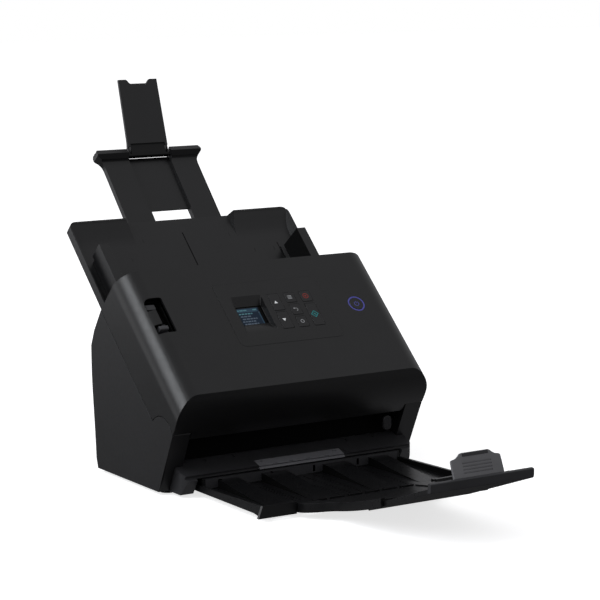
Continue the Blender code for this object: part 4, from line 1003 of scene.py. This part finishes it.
def build_flap():
    """Flap with a notched top and a curled lower end that wraps its pin."""
    panel = slab("back_flap", [(9, 3.6), (82, 3.6), (82, 0.7), (9, 0.7)], -24.2, 24.2, FLAP_SIDE)
    curl = curve_through([(0, 3.1), (3, 3.2), (6.5, 2.7), (10, 2.6), (13.2, 3.5)], 5)
    curl += [(14.5, 3.5), (14.5, 0.8)] + curve_through([(12, 0.5), (8, -0.6), (4, -2.2), (0, -3.1)], 5)
    barrel = slab("barrel", arc(0, 0, 3.15, 0, 350, 35), -24.2, 24.2, FLAP_SIDE)
    right = [(24.2, 8), (24.1, 20), (23.3, 82)]
    notch = curve_through([(14.4, 82), (12.6, 80.6), (11.2, 78.6), (9.6, 77.4)], 4)
    plan = right + notch + [(-x, y) for x, y in (right + notch)[::-1]]
    common(panel, slab("plan", plan, -8, 8, FLAP))
    low = [(9, 4.0), (12.2, 4.0), (12.2, -4), (9, -4)]
    cut(panel, slab("low_edge", low, -20.9, 20.9, FLAP_SIDE))
    arms = [slab("arm", curl, lo, hi, FLAP_SIDE) for _, lo, hi in both_sides(22.3, 24.2)]
    tools = [box("slot", (lo, hi), (4.6, 11.6), (-6, 6), FLAP) for _, lo, hi in both_sides(20.8, 22.3)]
    foot = slab("flap_curl", curl, -20.8, 20.8, FLAP_SIDE)
    fuse(foot, barrel, *arms)
    cut(foot, slab("bore", arc(0, 0, 1.5, 0, 345, 23), -30, 30, FLAP_SIDE), *tools)
    soften(foot, 0.3, 3)
    # The curl's gloss is real; its darker colour is painted shade for a face turned downward
    dress(foot, "extension_flap", "gloss", "tray_black")
    soften(panel, 0.3, 3)
    dress(panel, "extension_flap", "flap", "tray_black", "extension_flap")


# ---------------------------------------------------------------- eject tray
def wall_slots():
    return [box("wall_slot", (x - 1.4, x + 1.4), (-157, -149), (9.4, 16.0)) for x in (-96, -38, 12, 64)]


def build_eject_tray():
    """Flat pan with ribs, side rails and front bars that hold the extension's hinge."""
    tray = box("eject_pan", (-116.8, 116.8), (-255, -118), (5.2, 7.2))
    rise = curve_through([(-152.5, 15.6), (-165, 14.8), (-182, 12.6), (-205, 9.9), (-225, 8.2),
                          (-240, 7.3)], 4)
    ramp = [(-240, 6.4), (-152.5, 6.4)] + rise
    rail = [(-118, 5.4), (-118, 10.4), (-159, 11.4), (-262, 14.7), (-262, 3.3), (-259.4, 3.3), (-247, 5.4)]
    parts = [box("rear_wall", (-115, 115), (-153.4, -150.8), (6.2, 17.9))]
    for sign in (-1, 1):
        for outline, x0, x1 in ((rail, EJECT_HALF - 3.2, EJECT_HALF), (ramp, 77, 98), (ramp, 22, 49)):
            lo, hi = sorted((sign * x0, sign * x1))
            parts.append(slab("part", outline, lo, hi, SIDE))
        face = [(sign * 79.8, 3.0), (sign * 121.4, 3.3), (sign * 117.0, 14.9), (sign * 79.8, 14.4)]
        parts.append(slab("front_bar", face, 259.8, 263, FRONT))
        lo, hi = sorted((sign * 79.8, sign * 87))
        parts.append(box("block", (lo, hi), (-262.6, -254.4), (3.8, 13.4)))
    for i in range(6):
        x = -50 + 20 * i
        parts.append(box("knuckle", (x - 7.5, x + 7.5), (-257.2, -254.2), (5.4, 11.6)))
    fuse(tray, *parts)
    tools = [box("groove", (x - 0.5, x + 0.5), (-238, -156), (6.6, 9)) for x in (-15, -3, 9, 63)]
    tools += [box("groove", (x - 0.5, x + 0.5), (-236, -170), (6.6, 9)) for x in (-63, -58)]
    tools += wall_slots()
    for lo, hi in ((-85, -79), (79, 85)):
        tools.append(rod("hinge_bore", 1.8, lo, hi, EJECT_AXIS, 24))
    cut(tray, *tools)
    soften(tray, 0.4, 2)
    dress(tray, "eject_tray", "eject", "tray_black", "eject_tray")
    # Painted shade: the sideways faces of rails and ramps take the near-black inner finish
    repaint(tray, "inner", lambda c, n: abs(n.x) > 0.6 and abs(c.x) < 116.5 and c.y > -258)
    face = box("rear_wall_face", (-112, 112), (-153.65, -153.38), (8.2, 17.6))
    cut(face, *wall_slots())
    dress(face, "eject_tray", "bar", "tray_black")


def build_eject_extension():
    ys = [-262 - i * (368 - 262) / 28 for i in range(29)]
    low = [(y, ski_z(y)) for y in ys]
    high = [(y, ski_z(y) + 8.5) for y in reversed(ys)]
    ext = slab("eject_ski", low + high, -79.3, 79.3, SIDE)
    flare = curve_through([(-79.3, -262), (-79.1, -268), (-77.0, -275), (-72.5, -282), (-67, -287.5),
                           (-62.6, -292.5), (-60.4, -298), (-60, -304)], 4)
    flare = [(-79.3, -250)] + flare + [(-60, -372)]
    plan = flare + [(-x, y) for x, y in reversed(flare)]
    common(ext, slab("plan", plan, -10, 80, PLAN))
    inner_low = [(y, ski_z(y) - 6) for y in ys[2:]]
    inner_high = [(y, ski_z(y) + 6.3) for y in reversed(ys[2:])]
    under = [(-272, 2)] + inner_low + [(-376, 30), (-376, 42)] + inner_high
    pan_low = [(y, ski_z(y) + 7.3) for y in ys]
    pan = [(-262 + 6, ski_z(-262) + 7.3)] + pan_low + [(-376, 40), (-376, 60), (-256, 40)]
    cut(ext, slab("inside", under, -57.6, 57.6, SIDE), slab("pan", pan, -55.5, 55.5, SIDE))
    lugs = [box("lug", (lo, hi), (-268, -257.8), (6.7, 10.5)) for _, lo, hi in both_sides(73, 79.1)]
    lugs.append(box("web", (-57.8, 57.8), (-300, -297.4), (10.4, 17.0)))
    fuse(ext, rod("pivot", 1.4, -83.6, 83.6, EJECT_AXIS, 24), *lugs)
    soften(ext, 0.4, 2)
    dress(ext, "eject_extension", "eject", "tray_black", "eject_extension")
    # Painted shade: the downward faces take the near-black inner finish
    repaint(ext, "inner", lambda c, n: n.y < -0.6)


def build_end_plate():
    plate = box("end_slide", (-57.0, 57.0), (-98.0, 0), (0, 4.6), END)
    bar = [(-437.6, 55.0), (-437.6, 62.0), (-437.0, 62.6), (-434.2, 63.0), (-433.6, 62.6), (-433.0, 54.0)]
    parts = [slab("bar", bar, -57, 57, SIDE)]
    for _, lo, hi in both_sides(30.5, 33.5):
        ear = [(-434.4, 55)] + arc(*STOPPER_AXIS, 1.5, 180, 0, 10) + [(-430.2, 55)]
        parts.append(slab("ear", ear, lo, hi, SIDE))
    fuse(plate, *parts)
    tools = [rod("ear_bore", 1.2, lo - 1, hi + 1, STOPPER_AXIS, 24) for _, lo, hi in both_sides(30.5, 33.5)]
    for _, lo, hi in both_sides(10, 52):
        tools.append(box("panel", (lo, hi), (-88, -48), (3.9, 8), END))
    cut(plate, *tools)
    soften(plate, 0.4, 2)
    dress(plate, "eject_end_plate", "eject", "tray_black", "eject_end_plate")
    repaint(plate, "bar", lambda c, n: c.y < -94.0 and n.z > -0.6)
    # Painted shade: the downward faces take the near-black inner finish
    repaint(plate, "inner", lambda c, n: n.z < -0.6)


def build_stopper():
    shoulder = curve_through([(25.4, 18.0), (21.6, 18.7), (18.6, 20.4), (16.2, 22.4)], 4)
    right = [(27.5, -0.5), (27.3, 12), (27.0, 17.0)] + shoulder + [(14.5, 23)]
    plan = right + [(-x, y) for x, y in right[::-1]]
    plate = slab("paper_stopper", plan, -1.2, 1.2, STOPPER)
    louvres = []
    for i in range(4):
        s = 4.4 + 2.9 * i
        tooth = [(s, 0.35), (s + 1.9, 1.3), (s + 1.9, 3), (s, 3)]
        louvres.append(slab("louvre", tooth, -16, 16, STOPPER @ ON_EDGE))
    cut(plate, *louvres)
    fuse(plate, rod("pivot", 0.9, -33, 33, STOPPER_AXIS, 24))
    soften(plate, 0.22, 2)
    dress(plate, "eject_stopper", "stopper", "grip_grey", "eject_stopper")
    lip = plates("stopper_lip", [rounded(-14.4, 14.4, 19.4, 22.4, 0.8, 4)], 1.05, 1.35, STOPPER)
    soften(lip, 0.2, 2)
    dress(lip, "eject_stopper", "window", "grip_grey")


# ------------------------------------------------------------- carried nodes
def finish_carried_nodes():
    # The paper guides take the guide finish, whose near-zero colour and sheen are painted shade of the paper
    # path
    looks = {
        "lower_paper_guide": "guide", "inner_paper_guide": "guide", "lower_scan_glass": "glass",
        "upper_scan_glass": "glass", "lower_image_sensor": "inner", "upper_image_sensor": "inner",
        "left_frame_plate": "plated", "right_frame_plate": "plated", "motor": "steel", "motor_shaft": "steel",
        "motor_belt": "rubber", "roller_belt": "rubber", "main_board": "board", "dc_inlet": "inner",
        "usb_socket": "plated", "lan_socket": "plated",
    }
    for node, look in looks.items():
        ob = frame["nodes"][node]
        ob.data.materials.clear()
        ob.data.materials.append(LOOKS[look])


# -------------------------------------------------------------------- studio
CAMERA_AT = (-1187.1, -1954.1, 520.1)
CAMERA_TURN = 33.295                      # degrees to the right of straight back
CAMERA_DIP = 8.944                        # degrees below level
CAMERA_LENS = 135.47


def area_light(name, place, target, size, power, colour=(1, 1, 1)):
    data = bpy.data.lights.new(name, "AREA")
    data.shape = "RECTANGLE"
    data.size, data.size_y = size
    data.energy = power
    data.color = colour
    lamp = bpy.data.objects.new(name, data)
    bpy.context.scene.collection.objects.link(lamp)
    lamp.location = place
    lamp.rotation_euler = (Vector(target) - Vector(place)).to_track_quat("-Z", "Y").to_euler()


def build_sky():
    """White behind the object, and a dim room with a dark floor for its reflections."""
    sky = bpy.data.worlds.new("studio")
    bpy.context.scene.world = sky
    sky.use_nodes = True
    tree = sky.node_tree
    room = tree.nodes["Background"]
    tilt = tree.nodes.new("ShaderNodeSeparateXYZ")
    tree.links.new(tree.nodes.new("ShaderNodeTexCoord").outputs["Generated"], tilt.inputs["Vector"])
    ramp = tree.nodes.new("ShaderNodeValToRGB")
    height = tree.nodes.new("ShaderNodeMapRange")
    height.inputs["From Min"].default_value = -1.0
    tree.links.new(tilt.outputs["Z"], height.inputs["Value"])
    tree.links.new(height.outputs["Result"], ramp.inputs["Fac"])
    for place, grey in ((0.30, 0.13), (0.455, 0.11), (0.58, 0.43)):
        ramp.color_ramp.elements.new(place).color = (grey, grey, grey * 1.03, 1)
    ramp.color_ramp.elements[0].color = (0.26, 0.26, 0.27, 1)
    ramp.color_ramp.elements[-1].color = (0.43, 0.43, 0.44, 1)
    tree.links.new(ramp.outputs["Color"], room.inputs["Color"])
    backdrop = tree.nodes.new("ShaderNodeBackground")
    backdrop.inputs["Color"].default_value = (1, 1, 1, 1)
    mix = tree.nodes.new("ShaderNodeMixShader")
    tree.links.new(tree.nodes.new("ShaderNodeLightPath").outputs["Is Camera Ray"], mix.inputs["Fac"])
    tree.links.new(room.outputs["Background"], mix.inputs[1])
    tree.links.new(backdrop.outputs["Background"], mix.inputs[2])
    tree.links.new(mix.outputs["Shader"], tree.nodes["World Output"].inputs["Surface"])


def build_studio():
    floor = box("studio_floor", (-9000, 9000), (-9000, 9000), (-12, -0.6))
    mat, _, shader = new_material("floor_paper")
    shader.inputs["Base Color"].default_value = (0.9, 0.9, 0.9, 1)
    shader.inputs["Roughness"].default_value = 0.9
    shader.inputs["Specular IOR Level"].default_value = 0.0
    shader.inputs["Emission Color"].default_value = (1, 1, 1, 1)
    shader.inputs["Emission Strength"].default_value = 0.72
    floor.data.materials.append(mat)
    floor.visible_diffuse = False
    floor.visible_glossy = False
    build_sky()
    area_light("soft_left", (-2.4, 0.1, 2.0), (0, 0, 0.15), (1.3, 2.3), 46, (0.93, 0.96, 1.0))
    area_light("soft_back_left", (-2.0, 2.6, 0.55), (0, 0, 0.15), (2.5, 1.6), 11, (0.96, 0.97, 1.0))
    bpy.context.scene.view_settings.view_transform = "Standard"


def build_camera():
    """Camera at the left front, a little above the object."""
    turn, dip = math.radians(CAMERA_TURN), math.radians(CAMERA_DIP)
    look = Vector((math.sin(turn) * math.cos(dip), math.cos(turn) * math.cos(dip), -math.sin(dip)))
    data = bpy.data.cameras.new("camera")
    data.lens = CAMERA_LENS
    data.sensor_width = 36.0
    data.clip_end = 60.0
    camera = bpy.data.objects.new("camera", data)
    bpy.context.scene.collection.objects.link(camera)
    camera.location = world(*CAMERA_AT)
    camera.rotation_euler = look.to_track_quat("-Z", "Y").to_euler()
    bpy.context.scene.camera = camera


build_camera()
build_studio()
build_side_panels()
build_rear_cover()
build_tub()
build_ledge()
build_lower_path()
build_feet()
build_rollers()
build_cover()
build_bezel()
build_display()
build_keys()
build_power()
build_lever()
build_feed_tray()
build_tray_back()
build_guides()
build_pinion()
build_extension()
build_flap()
build_eject_tray()
build_eject_extension()
build_end_plate()
build_stopper()
finish_carried_nodes()

bpy.context.view_layer.update()
